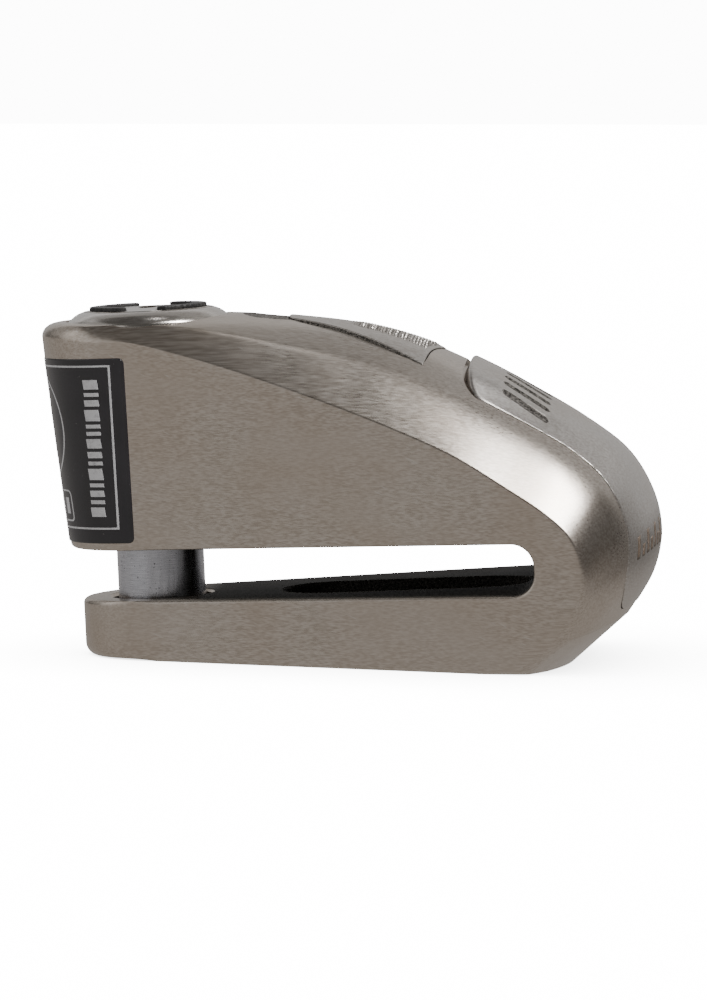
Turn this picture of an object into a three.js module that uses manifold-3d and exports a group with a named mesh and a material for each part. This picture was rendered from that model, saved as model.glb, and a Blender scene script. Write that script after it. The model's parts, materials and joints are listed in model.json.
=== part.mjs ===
// Disc brake lock: a forged steel jaw lock that closes over a motorcycle brake disc.
// Millimetres, +Z up. The flat base stands on z = 0, with the origin under the middle of the box.
// The mechanism is laid out in the slot frame: X runs along the slot from the bolt to the nose,
// Z runs up the bolt, and the origin is where the bolt's axis meets the slot floor.
import * as THREE from "three";
import { mergeVertices } from "three/addons/utils/BufferGeometryUtils.js";
import Module from "manifold-3d";

const wasm = await Module();
wasm.setup();

// ---------- driving dimensions ----------
const SLOT_TILT = THREE.MathUtils.degToRad(2.66); // slot against the flat base, nose end up
const SIDE_TAPER = THREE.MathUtils.degToRad(12.5); // each side face, in plan
const SIDE_DRAFT = THREE.MathUtils.degToRad(4.0); // each side face, against the bolt's axis
const HALF_WIDTH = 12.0; // of the body at the bolt's axis, on the slot floor
const SLOT_GAP = 8.1; // takes a 4 to 5 mm brake disc with room to spare
const SLOT_ROOT = 61.7; // depth of the slot from the bolt's axis
const SLOT_CORNER = 3.5;
const BASE_BELOW_SLOT = 9.75; // flat base under the slot floor, at the bolt's axis
const ORIGIN_SHIFT_X = -30.446; // bolt axis from the middle of the box, along world X
const GAP = 0.3; // between pieces that rest against each other
const TRAVEL = 14.0; // bolt lift that clears the slot

const BOLT_RADIUS = 7.0;
const BOLT_FOOT = -5.5;
const JAW_HOLE_RADIUS = 8.15;
const JAW_HOLE_DEPTH = 6.5;
const BOLT_BORE_RADIUS = 7.6;
const BOLT_SHOULDER = 14.0;
const BOLT_NECK_RADIUS = 5.0;
const BOLT_TOP = 20.2;

const BARREL_RADIUS = 10.0;
const BARREL_BORE_RADIUS = 10.3;
const BARREL_BOTTOM = 14.3;
const BARREL_TOP = 43.6;
const BUSH_SEAT_RADIUS = 9.5;
const BUSH_SEAT_BOTTOM = 9.6;
const SKIRT_BORE_RADIUS = 7.8;
const SKIRT_CEILING = 20.5;
const SEAL_GROOVE = { radius: 8.9, low: 41.9, high: 43.2 };

const CAP_RADIUS = 13.1;
const CAP_BASE = 44.05;
const CAP_SKIRT = { inner: 10.8, bottom: CAP_BASE - 0.7 }; // a ring under the cap's edge
const CAP_TOP = CAP_BASE + 2.1; // top of the shutter's dome
const SHUTTER_RADIUS = 10.0;
const SHUTTER_SEAT = CAP_BASE + 1.25;
const SHUTTER_EDGE = CAP_BASE + 1.8; // height of the shutter's rim
const SHUTTER_OPENING = { length: 8.2, width: 3.0 };
const CRESCENT = { inner: 7.0, outer: 9.4, spread: 72, bottom: CAP_BASE + 2.05, top: CAP_BASE + 2.45 };
const CRESCENT_FRONT = 0; // direction of each crescent from the bolt's axis, degrees
const CRESCENT_REAR = 180;

const DRUM_RADIUS = 6.6;
const DRUM_BORE_RADIUS = 4.9;
const DRUM_BOTTOM = 29.5;
const DRUM_SHOULDER = 40.6;
const PLUG_RADIUS = 5.9;
const PLUG_TOP = 45.0;
const KEYWAY = { length: 7.6, width: 2.6 };
const DISC_COUNT = 6;
const DISC_PITCH = 1.8;
const DISC_THICKNESS = 1.5;

const TONGUE_BOTTOM = 24.8;
const TONGUE_TOP = 27.6;
const TONGUE_HALF_WIDTH = 4.8;
const TONGUE_NOSE_HALF_WIDTH = 2.5;
const TONGUE_TIP = 12.3;
const CAM_THROW = 2.6; // from the bolt's axis to the cam's stub
const CAM_STUB_RADIUS = 1.1;
const SCREW_RADIUS = 1.65;
const SCREW_HOLE_RADIUS = 1.95;
const SCREW_HEAD_RADIUS = 3.0;
const SCREW_HEAD_SEAT = 22.4;

const STOP_PIN_X = -10.7;
const STOP_PIN_Z = 36.0;
const STOP_PIN_RADIUS = 1.5;

const ROUND = 40; // facets on a full circle

// ---------- solids: closed geometries in, one clean geometry out ----------
function solid(geometry) {
  const bare = geometry.clone();
  bare.deleteAttribute("normal");
  bare.deleteAttribute("uv");
  const merged = mergeVertices(bare, 1e-5);
  const mesh = new wasm.Mesh({
    numProp: 3,
    vertProperties: new Float32Array(merged.attributes.position.array),
    triVerts: new Uint32Array(merged.index.array),
  });
  return new wasm.Manifold(mesh);
}

function geometryOf(manifold) {
  const mesh = manifold.getMesh();
  const geometry = new THREE.BufferGeometry();
  geometry.setAttribute("position", new THREE.BufferAttribute(mesh.vertProperties, 3));
  geometry.setIndex(new THREE.BufferAttribute(mesh.triVerts, 1));
  geometry.computeVertexNormals();
  return geometry;
}

const cut = (base, ...tools) => tools.reduce((left, tool) => left.subtract(tool), base);
const join = (base, ...others) => others.reduce((sum, other) => sum.add(other), base);

function block(low, high) {
  const size = high.map((value, axis) => value - low[axis]);
  const centre = high.map((value, axis) => (value + low[axis]) / 2);
  return solid(new THREE.BoxGeometry(...size).translate(...centre));
}

function rod(radius, low, high, x = 0, y = 0, facets = ROUND) {
  const geometry = new THREE.CylinderGeometry(radius, radius, high - low, facets);
  geometry.rotateX(Math.PI / 2).translate(x, y, (low + high) / 2);
  return solid(geometry);
}

function turned(profile, facets = ROUND) {
  const points = [...profile, profile[0]].map(([radius, height]) => new THREE.Vector2(radius, height));
  return solid(new THREE.LatheGeometry(points, facets).rotateX(Math.PI / 2));
}

const ring = (inner, outer, low, high, facets = ROUND) =>
  turned([[inner, low], [outer, low], [outer, high], [inner, high]], facets);

function plate(shape, low, high, curveSegments = 12) {
  const geometry = new THREE.ExtrudeGeometry(shape, {
    depth: high - low,
    bevelEnabled: false,
    curveSegments,
  });
  return solid(geometry.translate(0, 0, low));
}

function sector(inner, outer, start, end) {
  const shape = new THREE.Shape();
  shape.absarc(0, 0, outer, start, end, false);
  shape.absarc(0, 0, inner, end, start, true);
  return shape;
}

// ---------- body shape ----------
// Each station joins a point of the side face's outline to a point of the middle outline.
// ridge = [x, z] at the middle plane, edge = [x, z] on the side face.
// Across the width, the crown falls from the ridge to the shoulder, and a chamfer runs on to the edge.
// shoulder = share of the width where the chamfer starts, fall = share of the drop reached there.
const CROWN = [
  { ridge: [-14.6, 44.3], edge: [-4.4, 41.3], shoulder: 0.87, fall: 0.12, power: 4.0 },
  { ridge: [-6.0, 44.5], edge: [-0.5, 41.0], shoulder: 0.87, fall: 0.16, power: 4.0 },
  { ridge: [5.0, 44.7], edge: [6.0, 39.3], shoulder: 0.85, fall: 0.25, power: 3.4 },
  { ridge: [14.0, 44.6], edge: [14.2, 36.8], shoulder: 0.81, fall: 0.36, power: 2.7 },
  { ridge: [24.0, 43.6], edge: [24.0, 33.3], shoulder: 0.77, fall: 0.43, power: 2.2 },
  { ridge: [34.0, 42.0], edge: [33.0, 29.8], shoulder: 0.75, fall: 0.46, power: 2.0 },
  { ridge: [43.5, 39.1], edge: [41.7, 26.1], shoulder: 0.74, fall: 0.46, power: 2.0 },
  { ridge: [52.5, 34.8], edge: [50.0, 22.1], shoulder: 0.74, fall: 0.45, power: 2.0 },
  { ridge: [61.0, 30.3], edge: [57.6, 17.2], shoulder: 0.75, fall: 0.45, power: 2.0 },
  { ridge: [69.0, 25.7], edge: [63.9, 12.8], shoulder: 0.77, fall: 0.47, power: 2.0 },
  { ridge: [75.6, 20.4], edge: [67.7, 8.9], shoulder: 0.79, fall: 0.52, power: 2.0 },
  { ridge: [79.4, 13.8], edge: [69.2, 4.4], shoulder: 0.8, fall: 0.58, power: 2.0 },
  { ridge: [80.5, 7.2], edge: [68.9, 0.2], shoulder: 0.8, fall: 0.6, power: 2.0 },
  { ridge: [79.0, 0.8], edge: [67.4, -3.8], shoulder: 0.8, fall: 0.58, power: 2.0 },
  { ridge: [75.0, -5.4], edge: [64.6, -7.9], shoulder: 0.8, fall: 0.55, power: 2.0 },
];
const BASE_FRONT = { ridgeX: 66.0, edgeX: 58.6 };
const REAR_ROOF = -14.3; // rear of the upper arm at the slot's roof
const REAR_HEAD = -17.25; // rear of the upper arm at its top
const REAR_JAW = -12.7; // rear of the lower jaw
const WALL_TOP = { ridge: 42.2, edge: 41.3 }; // height of the rear wall, round the rear end
const ACROSS = [0, 0.2, 0.4, 0.58, 0.72, 0.81, 0.88, 0.94, 1];
const SECTION = [...ACROSS.slice(1).reverse().map((share) => -share), ...ACROSS];
const CROWN_STEPS = 3; // facets between two crown stations
const ROUNDED_STATIONS = 2.5; // how many crown stations still follow the round rear end
const { lerp, degToRad } = THREE.MathUtils;

const baseHeight = (x) => -BASE_BELOW_SLOT / Math.cos(SLOT_TILT) - x * Math.tan(SLOT_TILT);

function halfWidth(x, z, grow) {
  return HALF_WIDTH + grow / Math.cos(SIDE_TAPER) + x * Math.tan(SIDE_TAPER) + z * Math.tan(SIDE_DRAFT);
}

// Share of the way from ridge to edge at a share of the width: crown, then chamfer, softly joined.
function crownDrop(share, { shoulder, fall, power }) {
  const crown = fall * (share / shoulder) ** power;
  const chamfer = fall + ((1 - fall) * (share - shoulder)) / (1 - shoulder);
  const softness = 0.06 * Math.min(1, (1 - share) / 0.1);
  const closeness = Math.max(softness - Math.abs(crown - chamfer), 0);
  return Math.max(crown, chamfer) + (softness > 0 ? (closeness * closeness) / (4 * softness) : 0);
}

// The same share where the body follows the arc round its rear end.
function roundDrop(share) {
  const across = share * Math.cos(SIDE_TAPER);
  return 1 - (Math.sqrt(1 - across * across) - Math.sin(SIDE_TAPER)) / (1 - Math.sin(SIDE_TAPER));
}

// A line round the rear end: an arc that meets both side faces smoothly, at a height given across it.
function rearStation(ridgeX, grow, height) {
  const width = halfWidth(0, height(1), grow);
  const edgeX = ridgeX + Math.cos(SIDE_TAPER) * width + ridgeX * Math.sin(SIDE_TAPER);
  return { ridgeX, edgeX, height, reach: roundDrop };
}

const levelStation = (x, z) => ({ ridgeX: x, edgeX: x, height: () => z, reach: () => 0 });

function crownStations(rise) {
  const ridge = new THREE.SplineCurve(CROWN.map((row) => new THREE.Vector2(...row.ridge)));
  const edge = new THREE.SplineCurve(CROWN.map((row) => new THREE.Vector2(...row.edge)));
  const spans = CROWN.length - 1;
  const stations = [];
  for (let step = 0; step <= spans * CROWN_STEPS; step++) {
    const place = step / CROWN_STEPS;
    const row = CROWN[Math.floor(place)];
    const next = CROWN[Math.min(Math.floor(place) + 1, spans)];
    const mix = (key) => lerp(row[key], next[key], place % 1);
    const shape = { shoulder: mix("shoulder"), fall: mix("fall"), power: mix("power") };
    const top = ridge.getPoint(place / spans);
    const side = edge.getPoint(place / spans);
    const outward = ridge.getTangent(place / spans).rotateAround(new THREE.Vector2(), Math.PI / 2);
    const lift = outward.multiplyScalar(rise(top));
    top.add(lift);
    side.add(lift);
    const rounded = Math.max(0, 1 - place / ROUNDED_STATIONS);
    stations.push({
      ridgeX: top.x,
      edgeX: side.x,
      height: (share) => lerp(top.y, side.y, crownDrop(share, shape)),
      reach: (share) => lerp(crownDrop(share, shape), roundDrop(share), rounded),
    });
  }
  return stations;
}

// The front of the base: the nose's last line, where it meets the flat base.
function baseFrontStation() {
  const { ridgeX, edgeX } = BASE_FRONT;
  const shape = CROWN[CROWN.length - 1];
  const reach = (share) => crownDrop(share, shape);
  return { ridgeX, edgeX, reach, height: (share) => baseHeight(lerp(ridgeX, edgeX, reach(share))) };
}

function slotRoot() {
  const stations = [];
  const corners = [
    { z: SLOT_CORNER, start: -90 },
    { z: SLOT_GAP - SLOT_CORNER, start: 0 },
  ];
  for (const corner of corners) {
    for (let angle = corner.start; angle <= corner.start + 90; angle += 18) {
      const x = SLOT_ROOT - SLOT_CORNER + SLOT_CORNER * Math.cos(degToRad(angle));
      stations.push(levelStation(x, corner.z + SLOT_CORNER * Math.sin(degToRad(angle))));
    }
  }
  return stations;
}

// The whole body, slot included, is one ring of stations, each swept across the width.
// rise lifts the crown, and grow swells the side faces and the rear end.
function bodySolid(rise = () => 0, grow = 0) {
  const crown = crownStations(rise);
  const wallTop = (share) => lerp(WALL_TOP.ridge, WALL_TOP.edge, share * share);
  const rim = (blend) => (share) => lerp(wallTop(share), crown[0].height(share), blend);
  const level = (z) => () => z;
  const baseAt = (x) => levelStation(x, baseHeight(x));
  const middleZ = (SLOT_GAP + WALL_TOP.ridge) / 2;
  return sweepStations(
    [
      rearStation(REAR_ROOF - grow, grow, level(SLOT_GAP)),
      rearStation((REAR_ROOF + REAR_HEAD) / 2 - grow, grow, level(middleZ)),
      rearStation(REAR_HEAD - grow, grow, wallTop),
      rearStation(REAR_HEAD + 0.3 - grow, grow, rim(0.5)),
      rearStation(REAR_HEAD + 1.1 - grow, grow, rim(0.88)),
      ...crown,
      baseFrontStation(),
      baseAt(45),
      baseAt(20),
      baseAt(0),
      rearStation(REAR_JAW + 1.9 - grow, grow, level(baseHeight(-10.8))),
      rearStation(REAR_JAW + 0.5 - grow, grow, level(baseHeight(-12) + 0.8)),
      rearStation(REAR_JAW - grow, grow, level(-6.6)),
      rearStation(REAR_JAW - grow, grow, level(0)),
      levelStation(10, 0),
      levelStation(35, 0),
      ...slotRoot(),
      levelStation(35, SLOT_GAP),
      levelStation(10, SLOT_GAP),
    ],
    grow,
  );
}

function sweepStations(stations, grow) {
  const across = SECTION.length;
  const positions = [];
  const outline = [];
  for (const { ridgeX, edgeX, height, reach } of stations) {
    const width = halfWidth(edgeX, height(1), grow);
    for (const share of SECTION) {
      const x = lerp(ridgeX, edgeX, reach(Math.abs(share)));
      positions.push(x, share * width, height(Math.abs(share)));
    }
    outline.push(new THREE.Vector2(edgeX, height(1)));
  }
  const index = [];
  const vertex = (station, column) => (station % stations.length) * across + column;
  for (let station = 0; station < stations.length; station++) {
    for (let column = 0; column < across - 1; column++) {
      const [a, b] = [vertex(station, column), vertex(station + 1, column)];
      const [c, d] = [vertex(station + 1, column + 1), vertex(station, column + 1)];
      index.push(a, b, c, a, c, d);
    }
  }
  for (const [a, b, c] of THREE.ShapeUtils.triangulateShape(outline, [])) {
    index.push(vertex(a, 0), vertex(b, 0), vertex(c, 0));
    index.push(vertex(a, across - 1), vertex(c, across - 1), vertex(b, across - 1));
  }
  const geometry = new THREE.BufferGeometry();
  geometry.setAttribute("position", new THREE.Float32BufferAttribute(positions, 3));
  geometry.setIndex(index);
  return solid(geometry);
}

// ---------- housing ----------
const PLATE = {
  rear: 51.4, // x of the nearly straight rear end, out to flat from the middle plane
  flat: 9,
  shoulder: 54, // where the corner has turned along the side
  shoulderHalf: 14.8,
  nose: 75, // where the strip stops widening
  noseHalf: 17.5,
  front: 90,
  bottom: -4.4,
  depth: 0.9,
};
const GRIP = {
  rear: 22.8, // blunt rear end, rearHalf wide at rearShoulder
  rearShoulder: 24.2,
  rearHalf: 4.4,
  wide: 44.8, // widest place, at the two front tips
  half: 12.3,
  front: 47.5,
  height: 0.2,
  depth: 0.9,
};
const POCKET = { start: 19.6, end: 59.9, halfWidth: 8.5, depth: 3.5 };
const LABEL = { front: -2.3, bottom: 9.3, top: 38.8, thickness: 0.3 };
const TALL = 100; // longer than the body, for tools that cut right through it

function plateRise(ridge) {
  const along = THREE.MathUtils.smoothstep(ridge.x, PLATE.rear, 74);
  return lerp(1.1, 0.15, along);
}

// Mirrors half an outline, given as curves from the rear to the front, about the middle plane.
// Each curve is [control x, control y, end x, end y].
function mirrored(startX, curves) {
  const shape = new THREE.Shape();
  shape.moveTo(startX, 0);
  for (const [controlX, controlY, x, y] of curves) {
    shape.quadraticCurveTo(controlX, -controlY, x, -y);
  }
  const starts = [[startX, 0], ...curves.map((curve) => curve.slice(2))];
  for (let number = curves.length - 1; number >= 0; number--) {
    const [controlX, controlY] = curves[number];
    if (number === curves.length - 1) shape.lineTo(curves[number][2], curves[number][3]);
    shape.quadraticCurveTo(controlX, controlY, ...starts[number]);
  }
  return shape;
}

// Plan outline of the nose plate: a strip along the ridge that widens to the nose.
function plateTool(margin) {
  const { rear, flat, shoulder, shoulderHalf, nose, noseHalf, front, bottom } = PLATE;
  const [left, side, wide] = [rear - margin, shoulderHalf + margin, noseHalf + margin];
  const shape = mirrored(left, [
    [left, flat / 2, left + 0.3, flat],
    [left + 0.6, side, shoulder, side],
    [lerp(shoulder, nose, 0.6), lerp(side, wide, 0.6), nose, wide],
    [lerp(nose, front, 0.5), wide, front, wide],
  ]);
  return plate(shape, bottom - margin, TALL, 5);
}

// Plan outline of the thumb grip: a leaf, blunt at the rear, with two tips at the front.
function gripTool(margin) {
  const { rear, rearShoulder, rearHalf, wide, half, front } = GRIP;
  const [left, narrow, side] = [rear - margin, rearHalf + margin, half + margin];
  const shape = mirrored(left, [
    [left, narrow, rearShoulder, narrow],
    [lerp(rearShoulder, wide, 0.4), lerp(narrow, side, 0.3), wide + margin, side],
    [wide + 0.6 + margin, side * 0.4, front + margin, 0],
  ]);
  return plate(shape, 0, TALL, 6);
}

const outer = bodySolid();
const sunk = (depth) => bodySolid(() => -depth);

function makeBody() {
  const pocket = new THREE.Shape();
  const [left, right] = [POCKET.start + POCKET.halfWidth, POCKET.end - POCKET.halfWidth];
  pocket.absarc(left, 0, POCKET.halfWidth, Math.PI / 2, -Math.PI / 2, false);
  pocket.absarc(right, 0, POCKET.halfWidth, -Math.PI / 2, Math.PI / 2, false);
  const plateBed = cut(plateTool(GAP), sunk(PLATE.depth + GAP));
  const gripBed = cut(gripTool(GAP), sunk(GRIP.depth + GAP));
  const tongueChannel = block(
    [9, -TONGUE_NOSE_HALF_WIDTH - GAP, TONGUE_BOTTOM - 0.4],
    [TONGUE_TIP + 0.7, TONGUE_NOSE_HALF_WIDTH + GAP, TONGUE_TOP + TRAVEL + 0.5],
  );
  const stopHole = rod(STOP_PIN_RADIUS + GAP, -14, 5, 0, 0, 24);
  return cut(
    outer,
    plateBed,
    gripBed,
    rod(CAP_RADIUS + 0.4, CAP_SKIRT.bottom - GAP, TALL),
    rod(BARREL_BORE_RADIUS, BARREL_BOTTOM - 0.4, TALL),
    rod(BUSH_SEAT_RADIUS, BUSH_SEAT_BOTTOM, BARREL_BOTTOM),
    rod(BOLT_BORE_RADIUS, SLOT_GAP - 1, BUSH_SEAT_BOTTOM + 0.4),
    rod(JAW_HOLE_RADIUS, -JAW_HOLE_DEPTH, 1),
    plate(pocket, -POCKET.depth, 1, 10),
    tongueChannel,
    stopHole.rotate([90, 0, 0]).translate([STOP_PIN_X, 0, STOP_PIN_Z]),
  );
}

function makeNosePlate() {
  return cut(bodySolid(plateRise), sunk(PLATE.depth)).intersect(plateTool(0));
}

function makeGripInlay() {
  const top = bodySolid(() => GRIP.height);
  return cut(top, sunk(GRIP.depth)).intersect(gripTool(0));
}

function makeLabel() {
  const skin = cut(bodySolid(undefined, GAP + LABEL.thickness), bodySolid(undefined, GAP));
  return skin.intersect(block([-30, -30, LABEL.bottom], [LABEL.front, 30, LABEL.top]));
}

const makeBoltBush = () =>
  ring(BOLT_RADIUS + 0.15, BUSH_SEAT_RADIUS - GAP, BUSH_SEAT_BOTTOM + GAP, BARREL_BOTTOM - 0.7);

function makeStopPin() {
  const pin = rod(STOP_PIN_RADIUS, -9.9, 4.4, 0, 0, 24);
  return pin.rotate([90, 0, 0]).translate([STOP_PIN_X, 0, STOP_PIN_Z]);
}

// A compression spring round the bolt's neck, drawn at its locked, squeezed length.
function makeReturnSpring() {
  const wire = 0.65;
  const meanRadius = 6.5;
  const turns = 3;
  const [low, high] = [BARREL_BOTTOM - 0.3 + wire, SKIRT_CEILING - GAP - wire];
  class Helix extends THREE.Curve {
    getPoint(share) {
      const angle = share * turns * 2 * Math.PI;
      const height = lerp(low, high, share);
      return new THREE.Vector3(meanRadius * Math.cos(angle), meanRadius * Math.sin(angle), height);
    }
  }
  const section = new THREE.Shape().absarc(0, 0, wire, 0, 2 * Math.PI);
  const coil = { steps: 60, extrudePath: new Helix(), curveSegments: 4, bevelEnabled: false };
  return solid(new THREE.ExtrudeGeometry(section, coil));
}

// ---------- plunger: what goes up and down with the bolt ----------
function makeLockCap() {
  const recess = SHUTTER_RADIUS + 0.25;
  return turned([
    [PLUG_RADIUS + 0.3, CAP_BASE],
    [CAP_SKIRT.inner, CAP_BASE],
    [CAP_SKIRT.inner, CAP_SKIRT.bottom],
    [CAP_RADIUS, CAP_SKIRT.bottom],
    [CAP_RADIUS, CAP_BASE + 0.2],
    [11.7, CAP_BASE + 1.25],
    [10.9, CAP_BASE + 1.6],
    [recess, CAP_BASE + 1.75],
    [recess, SHUTTER_SEAT],
    [PLUG_RADIUS + 0.3, SHUTTER_SEAT],
  ]);
}

function makeBarrel() {
  const shell = turned([
    [0, SKIRT_CEILING],
    [SKIRT_BORE_RADIUS, SKIRT_CEILING],
    [SKIRT_BORE_RADIUS, BARREL_BOTTOM],
    [BARREL_RADIUS, BARREL_BOTTOM],
    [BARREL_RADIUS, SEAL_GROOVE.low],
    [SEAL_GROOVE.radius, SEAL_GROOVE.low],
    [SEAL_GROOVE.radius, SEAL_GROOVE.high],
    [BARREL_RADIUS, SEAL_GROOVE.high],
    [BARREL_RADIUS, BARREL_TOP],
    [0, BARREL_TOP],
  ]);
  const tongueSlot = block(
    [-6.2, -TONGUE_HALF_WIDTH - GAP, TONGUE_BOTTOM - GAP],
    [9, TONGUE_HALF_WIDTH + GAP, TONGUE_TOP + 0.9],
  );
  const tongueMouth = block(
    [5, -TONGUE_NOSE_HALF_WIDTH - GAP, TONGUE_BOTTOM - GAP],
    [12, TONGUE_NOSE_HALF_WIDTH + GAP, TONGUE_TOP + GAP],
  );
  const slotRound = rod(8.6, 0, 50);
  const sidebarRelief = sector(6.8, 8.1, degToRad(76), degToRad(194));
  return cut(
    shell,
    rod(DRUM_RADIUS + 0.3, 27.5, DRUM_SHOULDER + GAP),
    rod(PLUG_RADIUS + 0.3, DRUM_SHOULDER, TALL),
    tongueSlot.intersect(slotRound),
    tongueMouth,
    plate(sidebarRelief, DRUM_BOTTOM, DRUM_SHOULDER - 0.1, 12),
    rod(SCREW_HOLE_RADIUS, SKIRT_CEILING - 1, SKIRT_CEILING + 5, 0, 0, 24),
    rod(SCREW_HEAD_RADIUS + GAP, SCREW_HEAD_SEAT, TONGUE_BOTTOM + 0.2, 0, 0, 24),
    block([-12, -6, STOP_PIN_Z - TRAVEL - 1.9], [-8.9, 6, STOP_PIN_Z + 1.9]),
  );
}

const makeBarrelSeal = () =>
  ring(SEAL_GROOVE.radius + 0.25, BARREL_RADIUS + 0.15, SEAL_GROOVE.low + 0.2, SEAL_GROOVE.high - 0.2);

function makeBolt() {
  const chamfer = 0.9;
  const shaft = turned([
    [0, BOLT_FOOT],
    [BOLT_RADIUS - chamfer, BOLT_FOOT],
    [BOLT_RADIUS, BOLT_FOOT + chamfer],
    [BOLT_RADIUS, BOLT_SHOULDER - 0.4],
    [BOLT_NECK_RADIUS, BOLT_SHOULDER - 0.4],
    [BOLT_NECK_RADIUS, BOLT_TOP],
    [0, BOLT_TOP],
  ]);
  return cut(shaft, rod(SCREW_HOLE_RADIUS, 12, 25, 0, 0, 24));
}

// Socket-head screw that clamps the bolt to the underside of the barrel.
function makeBoltScrew() {
  const screw = turned([
    [0, 13],
    [SCREW_RADIUS, 13],
    [SCREW_RADIUS, SCREW_HEAD_SEAT + GAP],
    [SCREW_HEAD_RADIUS, SCREW_HEAD_SEAT + GAP],
    [SCREW_HEAD_RADIUS, TONGUE_BOTTOM - 0.6],
    [0, TONGUE_BOTTOM - 0.6],
  ], 24);
  const hexSocket = rod(1.4, TONGUE_BOTTOM - 1.6, 25, 0, 0, 6);
  return cut(screw, hexSocket);
}

// ---------- shutter: the turning dust cover over the keyway ----------
function keySlot(length, width) {
  const shape = new THREE.Shape();
  const straight = length / 2 - width / 2;
  shape.absarc(-straight, 0, width / 2, Math.PI / 2, (3 * Math.PI) / 2, false);
  shape.absarc(straight, 0, width / 2, -Math.PI / 2, Math.PI / 2, false);
  return shape;
}

function makeShutter() {
  const disc = turned([
    [0, SHUTTER_SEAT + GAP],
    [SHUTTER_RADIUS, SHUTTER_SEAT + GAP],
    [SHUTTER_RADIUS, SHUTTER_EDGE],
    [SHUTTER_RADIUS - 1.2, SHUTTER_EDGE + 0.15],
    [5, CAP_TOP],
    [0, CAP_TOP],
  ]);
  const opening = plate(keySlot(SHUTTER_OPENING.length, SHUTTER_OPENING.width), 45, 48).rotate([0, 0, 90]);
  const seats = [CRESCENT_FRONT, CRESCENT_REAR].map((direction) =>
    plate(crescent(direction, GAP), CRESCENT.bottom - GAP, 48, 10),
  );
  return cut(disc, opening, ...seats);
}

function crescent(direction, margin) {
  const { inner, outer } = CRESCENT;
  const spread = degToRad(CRESCENT.spread) + (2 * margin) / (inner + outer);
  const middle = degToRad(direction);
  return sector(inner - margin, outer + margin, middle - spread, middle + spread);
}

const makeShutterGrip = (direction) => plate(crescent(direction, 0), CRESCENT.bottom, CRESCENT.top, 10);

// ---------- key drum ----------
function makeKeyPlug() {
  const body = turned([
    [0, DRUM_BOTTOM],
    [DRUM_RADIUS, DRUM_BOTTOM],
    [DRUM_RADIUS, DRUM_SHOULDER],
    [PLUG_RADIUS, DRUM_SHOULDER],
    [PLUG_RADIUS, PLUG_TOP],
    [0, PLUG_TOP],
  ]);
  return cut(
    body,
    rod(DRUM_BORE_RADIUS, DRUM_BOTTOM - 1, DRUM_SHOULDER - 0.2),
    plate(keySlot(KEYWAY.length, KEYWAY.width), DRUM_SHOULDER - 1, TALL),
    block([-1.0, 3, DRUM_BOTTOM - 1], [1.0, 8, DRUM_SHOULDER - 0.4]),
  );
}

function makeDisc(number) {
  const low = DRUM_BOTTOM + 0.1 + number * DISC_PITCH;
  const shape = new THREE.Shape().absarc(0, 0, DRUM_BORE_RADIUS - 0.3, 0, 2 * Math.PI);
  shape.holes.push(new THREE.Path(keySlot(6.4, 2.4 + 0.2 * (number % 3)).getPoints(6)));
  const disc = plate(shape, low, low + DISC_THICKNESS, 12);
  return cut(disc, block([-1.1, 3.4, low - 1], [1.1, 6, low + 3]));
}

// The cam under the drum: its stub draws the tongue in.
function makeTailCam() {
  const plateBottom = TONGUE_TOP + 0.5;
  const stub = rod(CAM_STUB_RADIUS, TONGUE_BOTTOM + 0.6, plateBottom + GAP, CAM_THROW, 0, 20);
  return join(rod(DRUM_RADIUS - 0.1, plateBottom, DRUM_BOTTOM - GAP), stub);
}

// ---------- sidebar and tongue ----------
const makeSidebar = () => block([-0.7, 5.2, DRUM_BOTTOM + 0.2], [0.7, 7.7, DRUM_SHOULDER - 0.7]);

function makeTongue() {
  const plan = new THREE.Shape();
  const [wide, narrow] = [TONGUE_HALF_WIDTH, TONGUE_NOSE_HALF_WIDTH];
  plan.moveTo(-3.4, -wide);
  plan.lineTo(5.4, -wide);
  plan.lineTo(7.0, -narrow);
  plan.lineTo(TONGUE_TIP - 0.6, -narrow);
  plan.lineTo(TONGUE_TIP, -narrow + 0.6);
  plan.lineTo(TONGUE_TIP, narrow - 0.6);
  plan.lineTo(TONGUE_TIP - 0.6, narrow);
  plan.lineTo(7.0, narrow);
  plan.lineTo(5.4, wide);
  plan.lineTo(-3.4, wide);
  const window = block([CAM_THROW - 1.9, -1.5, 20], [CAM_THROW + 1.9, TONGUE_HALF_WIDTH - 0.8, 30]);
  return cut(plate(plan, TONGUE_BOTTOM, TONGUE_TOP), window);
}

// ---------- materials ----------
const finish = (color, roughness, metalness) => () =>
  new THREE.MeshStandardMaterial({ color, roughness, metalness });
const brushedSteel = finish(0x8f8880, 0.38, 1.0);
const polishedSteel = finish(0x9d9892, 0.24, 1.0);
const boltSteel = finish(0x8d9198, 0.3, 1.0);
const darkSteel = finish(0x4a4744, 0.5, 1.0);
const brass = finish(0xb08d4a, 0.35, 1.0);
const blackRubber = finish(0x141414, 0.8, 0.0);
const blackPlastic = finish(0x1b1a1a, 0.5, 0.0);
const labelFilm = finish(0x17161a, 0.35, 0.0);

// ---------- assembly ----------
const mechanism = new THREE.Group();
mechanism.rotation.y = -SLOT_TILT;
mechanism.position.set(ORIGIN_SHIFT_X, 0, BASE_BELOW_SLOT);

function place(name, shape, material) {
  const mesh = new THREE.Mesh(geometryOf(shape), material());
  mesh.name = name;
  mechanism.add(mesh);
}

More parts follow.
